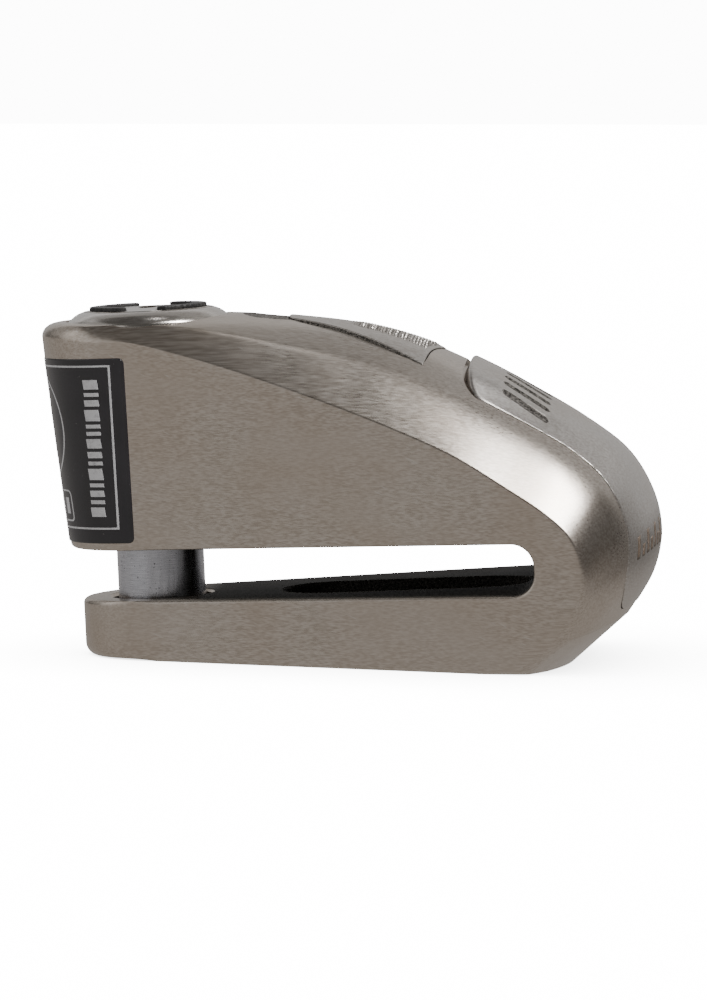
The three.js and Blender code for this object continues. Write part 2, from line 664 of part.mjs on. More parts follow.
place("body", makeBody(), brushedSteel);
place("nose_plate", makeNosePlate(), brushedSteel);
place("grip_inlay", makeGripInlay(), darkSteel);
place("label", makeLabel(), labelFilm);
place("bolt_bush", makeBoltBush(), darkSteel);
place("stop_pin", makeStopPin(), darkSteel);
place("return_spring", makeReturnSpring(), darkSteel);
place("lock_cap", makeLockCap(), polishedSteel);
place("cylinder_barrel", makeBarrel(), darkSteel);
place("barrel_seal", makeBarrelSeal(), blackRubber);
place("bolt", makeBolt(), boltSteel);
place("bolt_screw", makeBoltScrew(), darkSteel);
place("dust_shutter", makeShutter(), polishedSteel);
place("shutter_grip_front", makeShutterGrip(CRESCENT_FRONT), blackPlastic);
place("shutter_grip_rear", makeShutterGrip(CRESCENT_REAR), blackPlastic);
place("key_plug", makeKeyPlug(), brass);
for (let number = 0; number < DISC_COUNT; number++) {
  place(`detainer_disc_${number + 1}`, makeDisc(number), brass);
}
place("tail_cam", makeTailCam(), darkSteel);
place("sidebar", makeSidebar(), darkSteel);
place("locking_tongue", makeTongue(), darkSteel);

const group = new THREE.Group();
group.add(mechanism);
export default group;
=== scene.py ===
import json
import math

import bmesh
import bpy
import numpy as np
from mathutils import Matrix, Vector, kdtree


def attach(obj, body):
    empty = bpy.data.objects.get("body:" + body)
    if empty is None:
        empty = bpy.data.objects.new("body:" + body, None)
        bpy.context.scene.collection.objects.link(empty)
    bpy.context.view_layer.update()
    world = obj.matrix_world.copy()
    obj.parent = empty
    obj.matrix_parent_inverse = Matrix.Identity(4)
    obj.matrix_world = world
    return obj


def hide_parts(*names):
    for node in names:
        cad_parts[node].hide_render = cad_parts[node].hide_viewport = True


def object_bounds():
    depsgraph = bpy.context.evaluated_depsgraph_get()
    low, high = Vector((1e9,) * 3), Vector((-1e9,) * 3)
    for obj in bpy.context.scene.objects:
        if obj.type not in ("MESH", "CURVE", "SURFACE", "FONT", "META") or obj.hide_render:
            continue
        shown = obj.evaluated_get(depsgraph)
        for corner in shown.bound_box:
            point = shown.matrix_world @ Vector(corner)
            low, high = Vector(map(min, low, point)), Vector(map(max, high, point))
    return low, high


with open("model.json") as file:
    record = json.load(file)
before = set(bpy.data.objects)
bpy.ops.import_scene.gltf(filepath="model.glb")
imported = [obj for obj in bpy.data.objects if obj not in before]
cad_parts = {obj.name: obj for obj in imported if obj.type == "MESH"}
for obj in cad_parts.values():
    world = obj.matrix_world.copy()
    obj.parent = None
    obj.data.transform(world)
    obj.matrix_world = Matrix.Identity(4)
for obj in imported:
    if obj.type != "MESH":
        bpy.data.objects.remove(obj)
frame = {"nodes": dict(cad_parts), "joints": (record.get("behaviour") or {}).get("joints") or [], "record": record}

CAD_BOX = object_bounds()

# ---------- the slot frame, in millimetres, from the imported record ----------
# X runs along the slot to the nose, Z up the bolt, and the origin is the bolt's axis on the slot floor.
MM = 0.001
JOINTS = {joint["name"]: joint for joint in frame["joints"]}
MOUNTS = {mount["name"]: mount for mount in frame["record"]["mounts"]}
UP = Vector(JOINTS["plunger_slide"]["axis"]).normalized()
ALONG = Vector((UP.z, 0, -UP.x))
SLOT_FLOOR_POINT = 13.8  # the slot_floor mount lies this far along the slot from the bolt's axis
ORIGIN = Vector(MOUNTS["slot_floor"]["pos_m"]) - ALONG * SLOT_FLOOR_POINT * MM
TILT = math.atan2(-UP.x, UP.z)

# ---------- driving dimensions, the same as the CAD's ----------
TAPER = math.radians(12.5)
DRAFT = math.radians(4.0)
HALF_WIDTH = 12.0
SLOT_GAP = 8.1
SLOT_ROOT = 61.7
SLOT_CORNER = 3.5
BASE_BELOW_SLOT = ORIGIN.z / MM
CAP_RADIUS = 13.1
CAP_BASE = 44.05
CAP_SEAT = 43.05  # floor of the round seat that the cap's skirt sinks into
BARREL_BORE = 10.3
REAR_ROOF = -14.3
REAR_HEAD = -17.25
REAR_JAW = -12.7
WALL_TOP_RIDGE = 42.2
WALL_TOP_EDGE = 41.3

# ridge x, z; edge x, z; shoulder, fall, power: see crown_drop
CROWN = np.array([
    (-14.6, 44.3, -4.4, 41.3, 0.87, 0.12, 4.0),
    (-6.0, 44.5, -0.5, 41.0, 0.87, 0.16, 4.0),
    (5.0, 44.7, 6.0, 39.3, 0.85, 0.25, 3.4),
    (14.0, 44.6, 14.2, 36.8, 0.81, 0.36, 2.7),
    (24.0, 43.6, 24.0, 33.3, 0.77, 0.43, 2.2),
    (34.0, 42.0, 33.0, 29.8, 0.75, 0.46, 2.0),
    (43.5, 39.1, 41.7, 26.1, 0.74, 0.46, 2.0),
    (52.5, 34.8, 50.0, 22.1, 0.74, 0.45, 2.0),
    (61.0, 30.3, 57.6, 17.2, 0.75, 0.45, 2.0),
    (69.0, 25.7, 63.9, 12.8, 0.77, 0.47, 2.0),
    (75.6, 20.4, 67.7, 8.9, 0.79, 0.52, 2.0),
    (79.4, 13.8, 69.2, 4.4, 0.8, 0.58, 2.0),
    (80.5, 7.2, 68.9, 0.2, 0.8, 0.6, 2.0),
    (79.0, 0.8, 67.4, -3.8, 0.8, 0.58, 2.0),
    (75.0, -5.4, 64.6, -7.9, 0.8, 0.55, 2.0),
])
LAST = len(CROWN) - 1
CROWN_SOFTNESS = 0.09  # share of the drop over which crown and chamfer blend
ROUNDED_STATIONS = 2.5  # crown rows over which the round rear end fades out
BASE_FRONT_RIDGE = 66.0  # x at which the nose meets the base, in the middle and at the side
BASE_FRONT_EDGE = 58.6
BASE_FRONT_LENGTH = 6.0  # over which the base's first lines straighten


# ---------- meshes ----------
SHARP_ANGLE = math.radians(32)
AXIS_RADIUS = 1e-6  # points on the axis start this far from it, and are then welded


def to_row_frame(points):
    points = np.asarray(points, float).reshape(-1, 3) * MM
    axes = np.array([ALONG, (0, 1, 0), UP])
    return points @ axes + np.array(ORIGIN)


def add_object(name, data):
    made = bpy.data.objects.new(name, data)
    bpy.context.scene.collection.objects.link(made)
    return made


def new_mesh(name, points, faces, materials, face_material=None, smooth=True):
    """A mesh object from slot-frame points in millimetres."""
    mesh = bpy.data.meshes.new(name)
    mesh.from_pydata(to_row_frame(points).tolist(), [], faces)
    mesh.validate()
    for material in materials:
        mesh.materials.append(material)
    mesh.polygons.foreach_set("use_smooth", [smooth] * len(mesh.polygons))
    if face_material is not None:
        mesh.polygons.foreach_set("material_index", face_material)
    return add_object(name, mesh)


def grid_faces(rows, columns, wrap_rows=False, wrap_columns=False, start=0):
    faces = []
    for row in range(rows if wrap_rows else rows - 1):
        for column in range(columns if wrap_columns else columns - 1):
            below = (row + 1) % rows
            right = (column + 1) % columns
            faces.append((
                start + row * columns + column,
                start + below * columns + column,
                start + below * columns + right,
                start + row * columns + right,
            ))
    return faces


def turned(name, profile, materials, segments=128):
    """A solid of revolution about the bolt's axis, from (radius, height) points that begin and end on the
    axis or close on themselves."""
    closed = profile[0][0] > 0
    points = []
    for step in range(segments):
        angle = 2 * math.pi * step / segments
        for radius, height in profile:
            radius = max(radius, AXIS_RADIUS)
            points.append((radius * math.cos(angle), radius * math.sin(angle), height))
    faces = grid_faces(segments, len(profile), wrap_rows=True, wrap_columns=closed)
    made = new_mesh(name, points, faces, materials)
    if not closed:
        weld(made, 1e-8)
    return made


def weld(target, distance):
    work = bmesh.new()
    work.from_mesh(target.data)
    bmesh.ops.remove_doubles(work, verts=work.verts, dist=distance)
    bmesh.ops.dissolve_degenerate(work, edges=work.edges, dist=distance)
    work.to_mesh(target.data)
    work.free()


def outward(target):
    """Turns all faces of a closed mesh outward."""
    work = bmesh.new()
    work.from_mesh(target.data)
    bmesh.ops.recalc_face_normals(work, faces=work.faces)
    work.to_mesh(target.data)
    work.free()
    return target


def apply_modifiers(target):
    depsgraph = bpy.context.evaluated_depsgraph_get()
    baked = bpy.data.meshes.new_from_object(target.evaluated_get(depsgraph))
    old = target.data
    target.modifiers.clear()
    target.data = baked
    bpy.data.meshes.remove(old)


def cut(target, tools):
    for tool in tools:
        outward(tool)
        step = target.modifiers.new(tool.name, "BOOLEAN")
        step.operation = "DIFFERENCE"
        step.solver = "EXACT"
        step.object = tool
        step.material_mode = "TRANSFER"
        apply_modifiers(target)
        bpy.data.objects.remove(tool)
    return target


def finish_shading(target):
    """Sharp edges by angle, with the large faces holding their own normals."""
    target.data.set_sharp_from_angle(angle=SHARP_ANGLE)
    weighted = target.modifiers.new("normals", "WEIGHTED_NORMAL")
    weighted.keep_sharp = True
    weighted.weight = 60
    apply_modifiers(target)
    return target


# ---------- the body's shape ----------
def catmull(table, place):
    """Uniform Catmull-Rom through the table's rows, and its slope, at row numbers place."""
    place = np.clip(np.asarray(place, float), 0, len(table) - 1)
    low = np.minimum(place.astype(int), len(table) - 2)
    part = (place - low)[..., None]
    p0 = table[np.maximum(low - 1, 0)]
    p1 = table[low]
    p2 = table[low + 1]
    p3 = table[np.minimum(low + 2, len(table) - 1)]
    a = p2 - p0
    b = 2 * p0 - 5 * p1 + 4 * p2 - p3
    c = 3 * p1 - 3 * p2 + p3 - p0
    value = 0.5 * (2 * p1 + a * part + b * part**2 + c * part**3)
    slope = 0.5 * (a + 2 * b * part + 3 * c * part**2)
    return value, slope


def unit(vectors):
    return vectors / np.linalg.norm(vectors, axis=-1, keepdims=True)


def lerp(low, high, share):
    return low + (high - low) * share


def smoothstep(value, low, high):
    share = np.clip((value - low) / (high - low), 0, 1)
    return share * share * (3 - 2 * share)


def half_width(x, z, grow=0.0):
    return HALF_WIDTH + grow / math.cos(TAPER) + x * math.tan(TAPER) + z * math.tan(DRAFT)


def crown_drop(share, shoulder, fall, power):
    """Share of the way from ridge to edge: a crown up to the shoulder, then a chamfer, softly joined."""
    crown = fall * (share / shoulder) ** power
    chamfer = fall + (1 - fall) * (share - shoulder) / (1 - shoulder)
    softness = CROWN_SOFTNESS * np.minimum(1, np.maximum(1 - share, 1e-6) / 0.1)
    closeness = np.maximum(softness - abs(crown - chamfer), 0)
    return np.maximum(crown, chamfer) + closeness**2 / (4 * softness)


def round_drop(share):
    """Share of the way from ridge to edge of a round wall that meets the tapered side faces."""
    across = share * math.cos(TAPER)
    return 1 - (np.sqrt(1 - across**2) - math.sin(TAPER)) / (1 - math.sin(TAPER))


def crown_rows(place, lift):
    """Ridge and edge points, raised by lift, and the section's numbers, at row numbers place."""
    table, slope = catmull(CROWN[:, :4], place)
    normal = unit(np.stack([-slope[..., 1], slope[..., 0]], -1))
    raised = normal * np.asarray(lift, float)[..., None]
    low = np.minimum(np.asarray(place, float).astype(int), LAST - 1)
    part = (place - low)[..., None]
    numbers = CROWN[low, 4:] * (1 - part) + CROWN[low + 1, 4:] * part
    return table[..., :2] + raised, table[..., 2:] + raised, numbers


def crown_points(place, y, lift=0.0):
    """Points of the crown at row numbers place and distances y from the middle plane."""
    place, y, lift = np.broadcast_arrays(np.asarray(place, float), y, lift)
    ridge, edge, numbers = crown_rows(place, lift)
    share = np.minimum(abs(y) / half_width(edge[..., 0], edge[..., 1]), 1)
    drop = crown_drop(share, numbers[..., 0], numbers[..., 1], numbers[..., 2])
    rounded = np.maximum(0, 1 - place / ROUNDED_STATIONS)
    reach = lerp(drop, round_drop(share), rounded)
    x = lerp(ridge[..., 0], edge[..., 0], reach)
    z = lerp(ridge[..., 1], edge[..., 1], drop)
    return np.stack([x, y, z], -1)


def place_where(axis, target, y, low, high):
    """Row number at which the crown's coordinate reaches target, between low and high."""
    target, y = np.broadcast_arrays(np.asarray(target, float), y)
    low = np.full(target.shape, float(low))
    high = np.full(target.shape, float(high))
    rising = crown_points(high, y)[..., axis] > crown_points(low, y)[..., axis]
    for _ in range(36):
        middle = (low + high) / 2
        short = (crown_points(middle, y)[..., axis] < target) == rising
        low = np.where(short, middle, low)
        high = np.where(short, high, middle)
    return (low + high) / 2


def base_height(x):
    return -BASE_BELOW_SLOT / math.cos(TILT) - x * math.tan(TILT)


# ---------- body ----------
WALL_TURN = 77.5  # degrees round the rear wall, from its middle to the side face
HALF_SHARES = np.sin(np.radians(np.linspace(0, WALL_TURN, 33))) / math.sin(math.radians(WALL_TURN))
SHARES = np.concatenate([-HALF_SHARES[:0:-1], HALF_SHARES])
EDGE_ROUND = 0.22  # reach of the crisp edge between side face and chamfer
SOFT_ROUND = 2.6  # the same edge where it fades out, low on the nose
SLOT_ROUND = 0.5
WALL_CORNER = 0.9  # between the rear wall and the slot's faces
BASE_CORNER = 1.9  # between the rear wall and the base
CROWN_STEPS = 9


def wall_ridge(z):
    """Middle of the leaning rear wall at height z."""
    return lerp(REAR_ROOF, REAR_HEAD, (z - SLOT_GAP) / (WALL_TOP_RIDGE - SLOT_GAP))


def wall_edge(ridge_x, z, grow=0.0):
    """Where a round wall with its middle at ridge_x meets the side face."""
    return ridge_x + math.cos(TAPER) * half_width(0, z, grow) + ridge_x * math.sin(TAPER)


def rear_station(ridge_x, height, round_by=SLOT_ROUND, edge_x=None):
    """A line round the rear end. height is a number, or a function of the share of the width."""
    rise = height if callable(height) else (lambda share: np.full_like(share, height))
    edge_z = float(rise(np.array([1.0]))[0])
    edge_x = wall_edge(ridge_x, edge_z) if edge_x is None else edge_x
    return {
        "x": lambda share: lerp(ridge_x, edge_x, round_drop(share)),
        "z": rise,
        "edge": (edge_x, edge_z),
        "round": round_by,
    }


def level_station(x, z, round_by=SLOT_ROUND):
    return {
        "x": lambda share: np.full_like(share, x),
        "z": lambda share: np.full_like(share, z),
        "edge": (x, z),
        "round": round_by,
    }


def crown_station(place):
    ridge, edge, numbers = (part[0] for part in crown_rows(np.array([place]), np.array([0.0])))
    rounded = max(0.0, 1 - place / ROUNDED_STATIONS)

    def reach(share):
        return lerp(crown_drop(share, *numbers), round_drop(share), rounded)

    return {
        "x": lambda share: lerp(ridge[0], edge[0], reach(share)),
        "z": lambda share: lerp(ridge[1], edge[1], crown_drop(share, *numbers)),
        "edge": tuple(edge),
        "round": lerp(EDGE_ROUND, SOFT_ROUND, float(smoothstep(place, 9.5, LAST))),
    }


def base_front_station(blend):
    """blend runs from 0, the nose's last line, to 1, on the flat base."""
    numbers = CROWN[LAST, 4:]

    def x(share):
        reach = crown_drop(share, *numbers)
        return lerp(BASE_FRONT_RIDGE, BASE_FRONT_EDGE, reach) - BASE_FRONT_LENGTH * blend

    edge_x = float(x(np.array([1.0]))[0])
    return {
        "x": x,
        "z": lambda share: base_height(x(share)),
        "edge": (edge_x, base_height(edge_x)),
        "round": lerp(SOFT_ROUND, SLOT_ROUND, blend),
    }


def body_stations():
    """Lines across the body, in order round its side outline: up the rear wall, along the crown to the nose,
    back along the base, up the jaw's rear end, and through the slot."""
    head = crown_station(0.0)

    def wall_top(share):
        return lerp(WALL_TOP_RIDGE, WALL_TOP_EDGE, share**2)

    def rim(step):
        """Lines round the rim between the rear wall and the head, from step 0 to step 1."""
        angle = math.pi / 2 * step
        inward = 1 - math.cos(angle)
        ridge_x = lerp(REAR_HEAD, CROWN[0, 0], inward)
        edge_x = lerp(wall_edge(REAR_HEAD, WALL_TOP_EDGE), CROWN[0, 2], inward)
        upward = math.sin(angle)
        return rear_station(ridge_x, lambda s: lerp(wall_top(s), head["z"](s), upward), EDGE_ROUND, edge_x)

    def corner(ridge_x, z, toward_z):
        """Lines round a corner between the rear wall and a level face, from the wall to the face."""
        lines = []
        for angle in np.radians(np.linspace(0, 90, 6)):
            inset = WALL_CORNER * (1 - math.cos(angle))
            lines.append(rear_station(ridge_x + inset, z - toward_z * WALL_CORNER * (1 - math.sin(angle))))
        return lines

    stations = corner(REAR_ROOF, SLOT_GAP, -1)[::-1]
    for step in np.linspace(0.1, 0.9, 5):
        height = lerp(SLOT_GAP, WALL_TOP_RIDGE - 1, step)
        stations.append(rear_station(lerp(REAR_ROOF, REAR_HEAD, step), height))
    stations += [rim(step) for step in np.linspace(0, 0.92, 8)]
    stations += [crown_station(place) for place in np.linspace(0, LAST, LAST * CROWN_STEPS + 1)]
    stations += [base_front_station(blend) for blend in (0.0, 0.33, 0.66, 1.0)]
    stations += [level_station(x, base_height(x)) for x in (50, 44, 34, 24, 14, 6, 0)]
    base_rear = base_height(REAR_JAW + BASE_CORNER)
    for angle in np.radians(np.linspace(0, 90, 7)):
        inset = BASE_CORNER * (1 - math.sin(angle))
        stations.append(rear_station(REAR_JAW + inset, base_rear + BASE_CORNER * (1 - math.cos(angle))))
    stations += corner(REAR_JAW, 0.0, 1)
    stations += [level_station(x, 0.0) for x in (0, 8, 16, 26, 36, 46, 54)]
    for middle, start in ((SLOT_CORNER, -90), (SLOT_GAP - SLOT_CORNER, 0)):
        for angle in np.radians(np.linspace(start, start + 90, 10)):
            x = SLOT_ROOT - SLOT_CORNER + SLOT_CORNER * math.cos(angle)
            stations.append(level_station(x, middle + SLOT_CORNER * math.sin(angle)))
    stations += [level_station(x, SLOT_GAP) for x in (54, 46, 36, 26, 16, 8, 0)]
    return stations


def side_rounding(stations, side):
    """Per station: the last share before the rounded edge, and the rounding's points on to the side face."""
    edge = np.array([station["edge"] for station in stations])
    width = half_width(edge[:, 0], edge[:, 1])
    outline = np.stack([edge[:, 0], side * width, edge[:, 1]], -1)
    ahead = unit(np.roll(outline, -1, 0) - outline)
    tangent = unit(ahead + np.roll(ahead, 1, 0))
    face_normal = np.array([-math.tan(TAPER), side, -math.tan(DRAFT)])
    inward = -side * unit(np.cross(tangent, face_normal))
    inward /= np.maximum((tangent * ahead).sum(1), 0.5)[:, None]
    last_share, arcs = [], []
    for station, corner, half, direction in zip(stations, outline, width, inward):
        back = np.array([1.0, 1 - station["round"] / half])
        before = np.array([station["x"](back)[1], side * back[1] * half, station["z"](back)[1]])
        slant = max(np.linalg.norm(before - corner) / station["round"], 1.0)
        share = 1 - station["round"] / half / slant
        one = np.array([share])
        start = np.array([station["x"](one)[0], side * share * half, station["z"](one)[0]])
        end = corner + direction * station["round"]
        if arcs and (end - arcs[-1][-1]) @ (corner - last_corner) < 0:
            end = arcs[-1][-1]  # the inner outline never runs back on itself
        last_corner = corner
        steps = np.linspace(0, 1, 6)[1:, None]
        arcs.append((1 - steps) ** 2 * start + 2 * steps * (1 - steps) * corner + steps**2 * end)
        last_share.append(share)
    return np.array(last_share), np.array(arcs)


def make_body(materials):
    """The body without its openings: a skin through the stations, closed by the two side faces."""
    stations = body_stations()
    last_share, near_arcs = side_rounding(stations, -1)
    _, far_arcs = side_rounding(stations, 1)
    rows = []
    for number, station in enumerate(stations):
        share = SHARES * last_share[number]
        width = half_width(*station["edge"])
        middle = np.stack([station["x"](abs(share)), share * width, station["z"](abs(share))], -1)
        rows.append(np.concatenate([near_arcs[number][::-1], middle, far_arcs[number]]))
    columns = len(rows[0])
    faces = grid_faces(len(rows), columns, wrap_rows=True)
    faces.append([row * columns for row in range(len(rows))])
    faces.append([row * columns + columns - 1 for row in reversed(range(len(rows)))])
    shell = new_mesh("body_steel_shell", np.concatenate(rows), faces, materials)
    weld(shell, 1e-7)
    return shell


# ---------- cutters and raised patches that follow the crown ----------
EDGE_STEPS = np.array([0, 0.03, 0.08, 0.15, 0.25, 0.36, 0.5, 0.8])
CUTTER_TOP = 2.5  # cutters end this far above the crown


def crowded(low, high, count):
    """Numbers from low to high, closest together at both ends."""
    return lerp(low, high, (1 - np.cos(np.linspace(0, math.pi, count))) / 2)


def clustered(length, step):
    """Distances from 0 to length, close together at both ends."""
    middle = np.linspace(EDGE_STEPS[-1], length - EDGE_STEPS[-1], max(int(length / step), 2))
    return np.concatenate([EDGE_STEPS, middle[1:-1], length - EDGE_STEPS[::-1]])


def border(rows, columns):
    """Grid positions round the border of a grid, in order."""
    path = [(0, column) for column in range(columns - 1)]
    path += [(row, columns - 1) for row in range(rows - 1)]
    path += [(rows - 1, column) for column in range(columns - 1, 0, -1)]
    path += [(row, 0) for row in range(rows - 1, 0, -1)]
    return path


def stack(name, levels, materials, slots=(0, 0, 0)):
    """A closed solid between a bottom grid and a top grid, with walls through the borders of all levels.
    slots are the material numbers of the bottom, the walls and the top."""
    rows, columns = levels[0].shape[:2]
    ring = border(rows, columns)
    points = [levels[0].reshape(-1, 3)]
    loops = [[row * columns + column for row, column in ring]]
    start = rows * columns
    for level in levels[1:-1]:
        points.append(np.array([level[place] for place in ring]))
        loops.append(list(range(start, start + len(ring))))
        start += len(ring)
    points.append(levels[-1].reshape(-1, 3))
    loops.append([start + row * columns + column for row, column in ring])
    bottom = [face[::-1] for face in grid_faces(rows, columns)]
    walls = []
    for low, high in zip(loops, loops[1:]):
        for a in range(len(ring)):
            b = (a + 1) % len(ring)
            walls.append((low[a], low[b], high[b], high[a]))
    top = grid_faces(rows, columns, start=start)
    numbers = [slots[0]] * len(bottom) + [slots[1]] * len(walls) + [slots[2]] * len(top)
    made = new_mesh(name, np.concatenate(points), bottom + walls + top, materials, numbers)
    weld(made, 1e-7)
    return outward(made)


def border_distance(grid):
    """Distance of each grid point from the grid's border, along the surface."""
    rows, columns = grid.shape[:2]
    loop = np.array([grid[place] for place in border(rows, columns)])
    following = np.roll(loop, -1, 0)
    dense = np.concatenate([lerp(loop, following, share) for share in np.linspace(0, 1, 12, endpoint=False)])
    tree = kdtree.KDTree(len(dense))
    for number, point in enumerate(dense):
        tree.insert(point, number)
    tree.balance()
    return np.array([tree.find(point)[2] for point in grid.reshape(-1, 3)]).reshape(rows, columns)


def rounded_edge(distance, radius):
    """How far a rounded edge lies below the face, at a distance from the edge."""
    inside = radius - np.minimum(distance, radius)
    return radius - np.sqrt(radius**2 - inside**2)


def raised_patch(name, plan, rise, depth, edge_radius, materials, slots=(0, 0, 0)):
    """plan = (crown places, distances from the middle plane); rise = height over the crown at each."""
    place, y = plan
    distance = border_distance(crown_points(place, y))
    top = crown_points(place, y, rise - rounded_edge(distance, edge_radius))
    levels = [crown_points(place, y, -depth), crown_points(place, y, 0.15 * rise), top]
    return stack(name, levels, materials, slots)


def bed_cutter(name, plan_at, depth, margin, flare, materials, slots=(0, 0, 0)):
    """Cuts a bed into the crown, with its top edge flared so that it is not knife sharp."""
    wide = margin + flare
    levels = []
    for lift, grow in ((-depth, margin), (-flare, margin), (0.02, wide), (CUTTER_TOP, wide)):
        place, y = plan_at(grow)
        levels.append(crown_points(place, y, lift))
    return stack(name, levels, materials, slots)


# ---------- nose plate ----------
PLATE_REAR = 51.4
PLATE_LENGTH = 58
PLATE_WIDTH = 32
PLATE_DEPTH = 0.9
PLATE_REAR_HALF = 14.8  # half width just in front of the rear end, at x 54
PLATE_NOSE_HALF = 17.5  # half width from x 75 on
PLATE_REAR_PLACE = 7.2
PLATE_NOSE_PLACE = 10.3
PLATE_END_PLACE = 13.6
PLATE_CORNER = 0.6  # share of the half width where the corners start


def plate_plan(margin=0.0):
    """A strip that widens to the nose, with a nearly straight rear end and round corners."""
    share = clustered(PLATE_LENGTH, 1.0)[:, None] / PLATE_LENGTH
    across = (2 * clustered(PLATE_WIDTH, 0.9) / PLATE_WIDTH - 1)[None, :]
    turn = np.maximum((abs(across) - PLATE_CORNER) / (1 - PLATE_CORNER), 0)
    corner = 1 - np.sqrt(np.maximum(1 - turn**2, 0))
    rear = place_where(0, PLATE_REAR - 4 * margin + 0 * across, 0.9 * across * PLATE_REAR_HALF, 4, 11)
    rear = rear + 0.34 * corner
    front = PLATE_END_PLACE + margin / 8 - 1.3 * corner
    place = lerp(rear, front, share)
    widening = (place - PLATE_REAR_PLACE) / (PLATE_NOSE_PLACE - PLATE_REAR_PLACE)
    half = lerp(PLATE_REAR_HALF, PLATE_NOSE_HALF, np.clip(widening, -0.1, 1))
    return place, across * (half + margin)


def plate_rise(place, y):
    """Height over the crown: a step at the rear end, nearly flush along the sides and at the nose."""
    x = catmull(CROWN[:, :2], place)[0][..., 0]
    middle = lerp(1.1, 0.12, smoothstep(x, PLATE_REAR, 74))
    return lerp(middle, 0.1, smoothstep(abs(y), 10.5, 15))


GROOVE_COUNT = 9
GROOVE_LENGTH = 7.4
GROOVE_WIDTH = 1.35
GROOVE_PITCH = 3.0
GROOVE_MIDDLE = 60.3
GROOVE_SLANT = 0.22


def groove_cutter(number, materials):
    """A capsule-shaped groove in the plate's top, slanted a little."""
    y_middle = (number - (GROOVE_COUNT - 1) / 2) * GROOVE_PITCH
    along = np.linspace(-1, 1, 25)[:, None]
    across = np.linspace(-1, 1, 9)[None, :]
    levels = []
    for lift, grow in ((-0.45, -0.25), (-0.3, -0.08), (-0.05, 0.0), (0.06, 0.12), (1.5, 0.12)):
        half_length = GROOVE_LENGTH / 2 + grow
        half = GROOVE_WIDTH / 2 + grow
        straight = half_length - half
        s = along * half_length
        beyond = np.clip((abs(s) - straight) / half, 0, 1)
        width = half * np.sqrt(np.maximum(1 - beyond**2, 0.0004))
        x = GROOVE_MIDDLE + s + 0 * across
        y = y_middle + across * width - s * GROOVE_SLANT
        place = place_where(0, x, y, 4, 12)
        levels.append(crown_points(place, y, plate_rise(place, y) + lift))
    return stack("groove", levels, materials, (1, 1, 1))


def make_nose_plate(materials):
    plan = plate_plan()
    edge_radius = lerp(0.5, 0.09, smoothstep(plan[0], 7.3, 8.2))
    plate = raised_patch("nose_plate_steel", plan, plate_rise(*plan), PLATE_DEPTH, edge_radius, materials)
    return cut(plate, [groove_cutter(number, materials) for number in range(GROOVE_COUNT)])


TICK_COUNT = 17
TICK_WIDTH = 0.9
TICK_PITCH = 1.8
TICK_TOPS = (11.62, 11.9)  # crown places where long and short ticks begin
TICK_FOOT = 12.22


def make_laser_ticks(material):
    """A scale of plain marks across the nose, a few hundredths of a millimetre thick."""
    ticks = []
    for number in range(TICK_COUNT):
        y_middle = (number - TICK_COUNT // 2) * TICK_PITCH
        y = np.linspace(-TICK_WIDTH / 2, TICK_WIDTH / 2, 3)[None, :] + y_middle
        place = np.linspace(TICK_TOPS[number % 2], TICK_FOOT, 7)[:, None]
        place, y = np.broadcast_arrays(place, y)
        rise = plate_rise(place, y)
        levels = [crown_points(place, y, rise + lift) for lift in (-0.05, 0.02, 0.03)]
        ticks.append(stack("tick", levels, [material]))
    return joined("nose_marks", ticks)


def joined(name, pieces):
    bpy.ops.object.select_all(action="DESELECT")
    for piece in pieces:
        piece.select_set(True)
    bpy.context.view_layer.objects.active = pieces[0]
    bpy.ops.object.join()
    pieces[0].name = name
    pieces[0].data.name = name
    return pieces[0]


# ---------- thumb grip ----------
GRIP_REAR = 22.8
GRIP_REAR_HALF = 4.4
GRIP_WIDE = 44.8
GRIP_FRONT = 47.5
GRIP_HALF = 11.8
GRIP_DEPTH = 0.9
GRIP_RISE = 0.2
KNURL_PITCH = 0.95
KNURL_HEIGHT = 0.4
KNURL_SINK = 0.16  # how far the knurl's valleys lie below the plain part
KNURL_REAR = (32, 35)  # the knurl fades in or out between each pair
KNURL_FRONT = (45.6, 46.6)
KNURL_SIDE = (0.46, 0.56)  # shares of the half width
VALLEY_DEPTH = 0.45


def bezier(a, b, c, t):
    return (1 - t) ** 2 * np.array(a) + 2 * t * (1 - t) * np.array(b) + t**2 * np.array(c)


def grip_half(x, margin=0.0):
    """Half width of the leaf at x: blunt at the rear, with two tips at the front."""
    t = np.linspace(0, 1, 60)[:, None]
    left, shoulder = GRIP_REAR - margin, GRIP_REAR + 1.4
    narrow, side = GRIP_REAR_HALF + margin, GRIP_HALF + margin
    rear = bezier((left, 0), (left, narrow), (shoulder, narrow), t)
    middle = (lerp(shoulder, GRIP_WIDE, 0.4), lerp(narrow, side, 0.3))
    wide = GRIP_WIDE + margin
    flank = bezier((shoulder, narrow), middle, (wide, side), t)
    front = bezier((wide, side), (GRIP_WIDE + 0.6 + margin, side * 0.4), (GRIP_FRONT + margin, 0), t)
    outline = np.concatenate([rear, flank[1:], front[1:]])
    return np.interp(x, outline[:, 0], outline[:, 1])


def grip_plan(margin=0.0, rows=190, columns=170):
    x = crowded(GRIP_REAR - margin, GRIP_FRONT + margin, rows)
    across = np.sin(np.linspace(-math.pi / 2, math.pi / 2, columns))
    x, across = np.broadcast_arrays(x[:, None], across[None, :])
    y = across * np.maximum(grip_half(x, margin), 0.02)
    return place_where(0, x, y, 2, 9), y


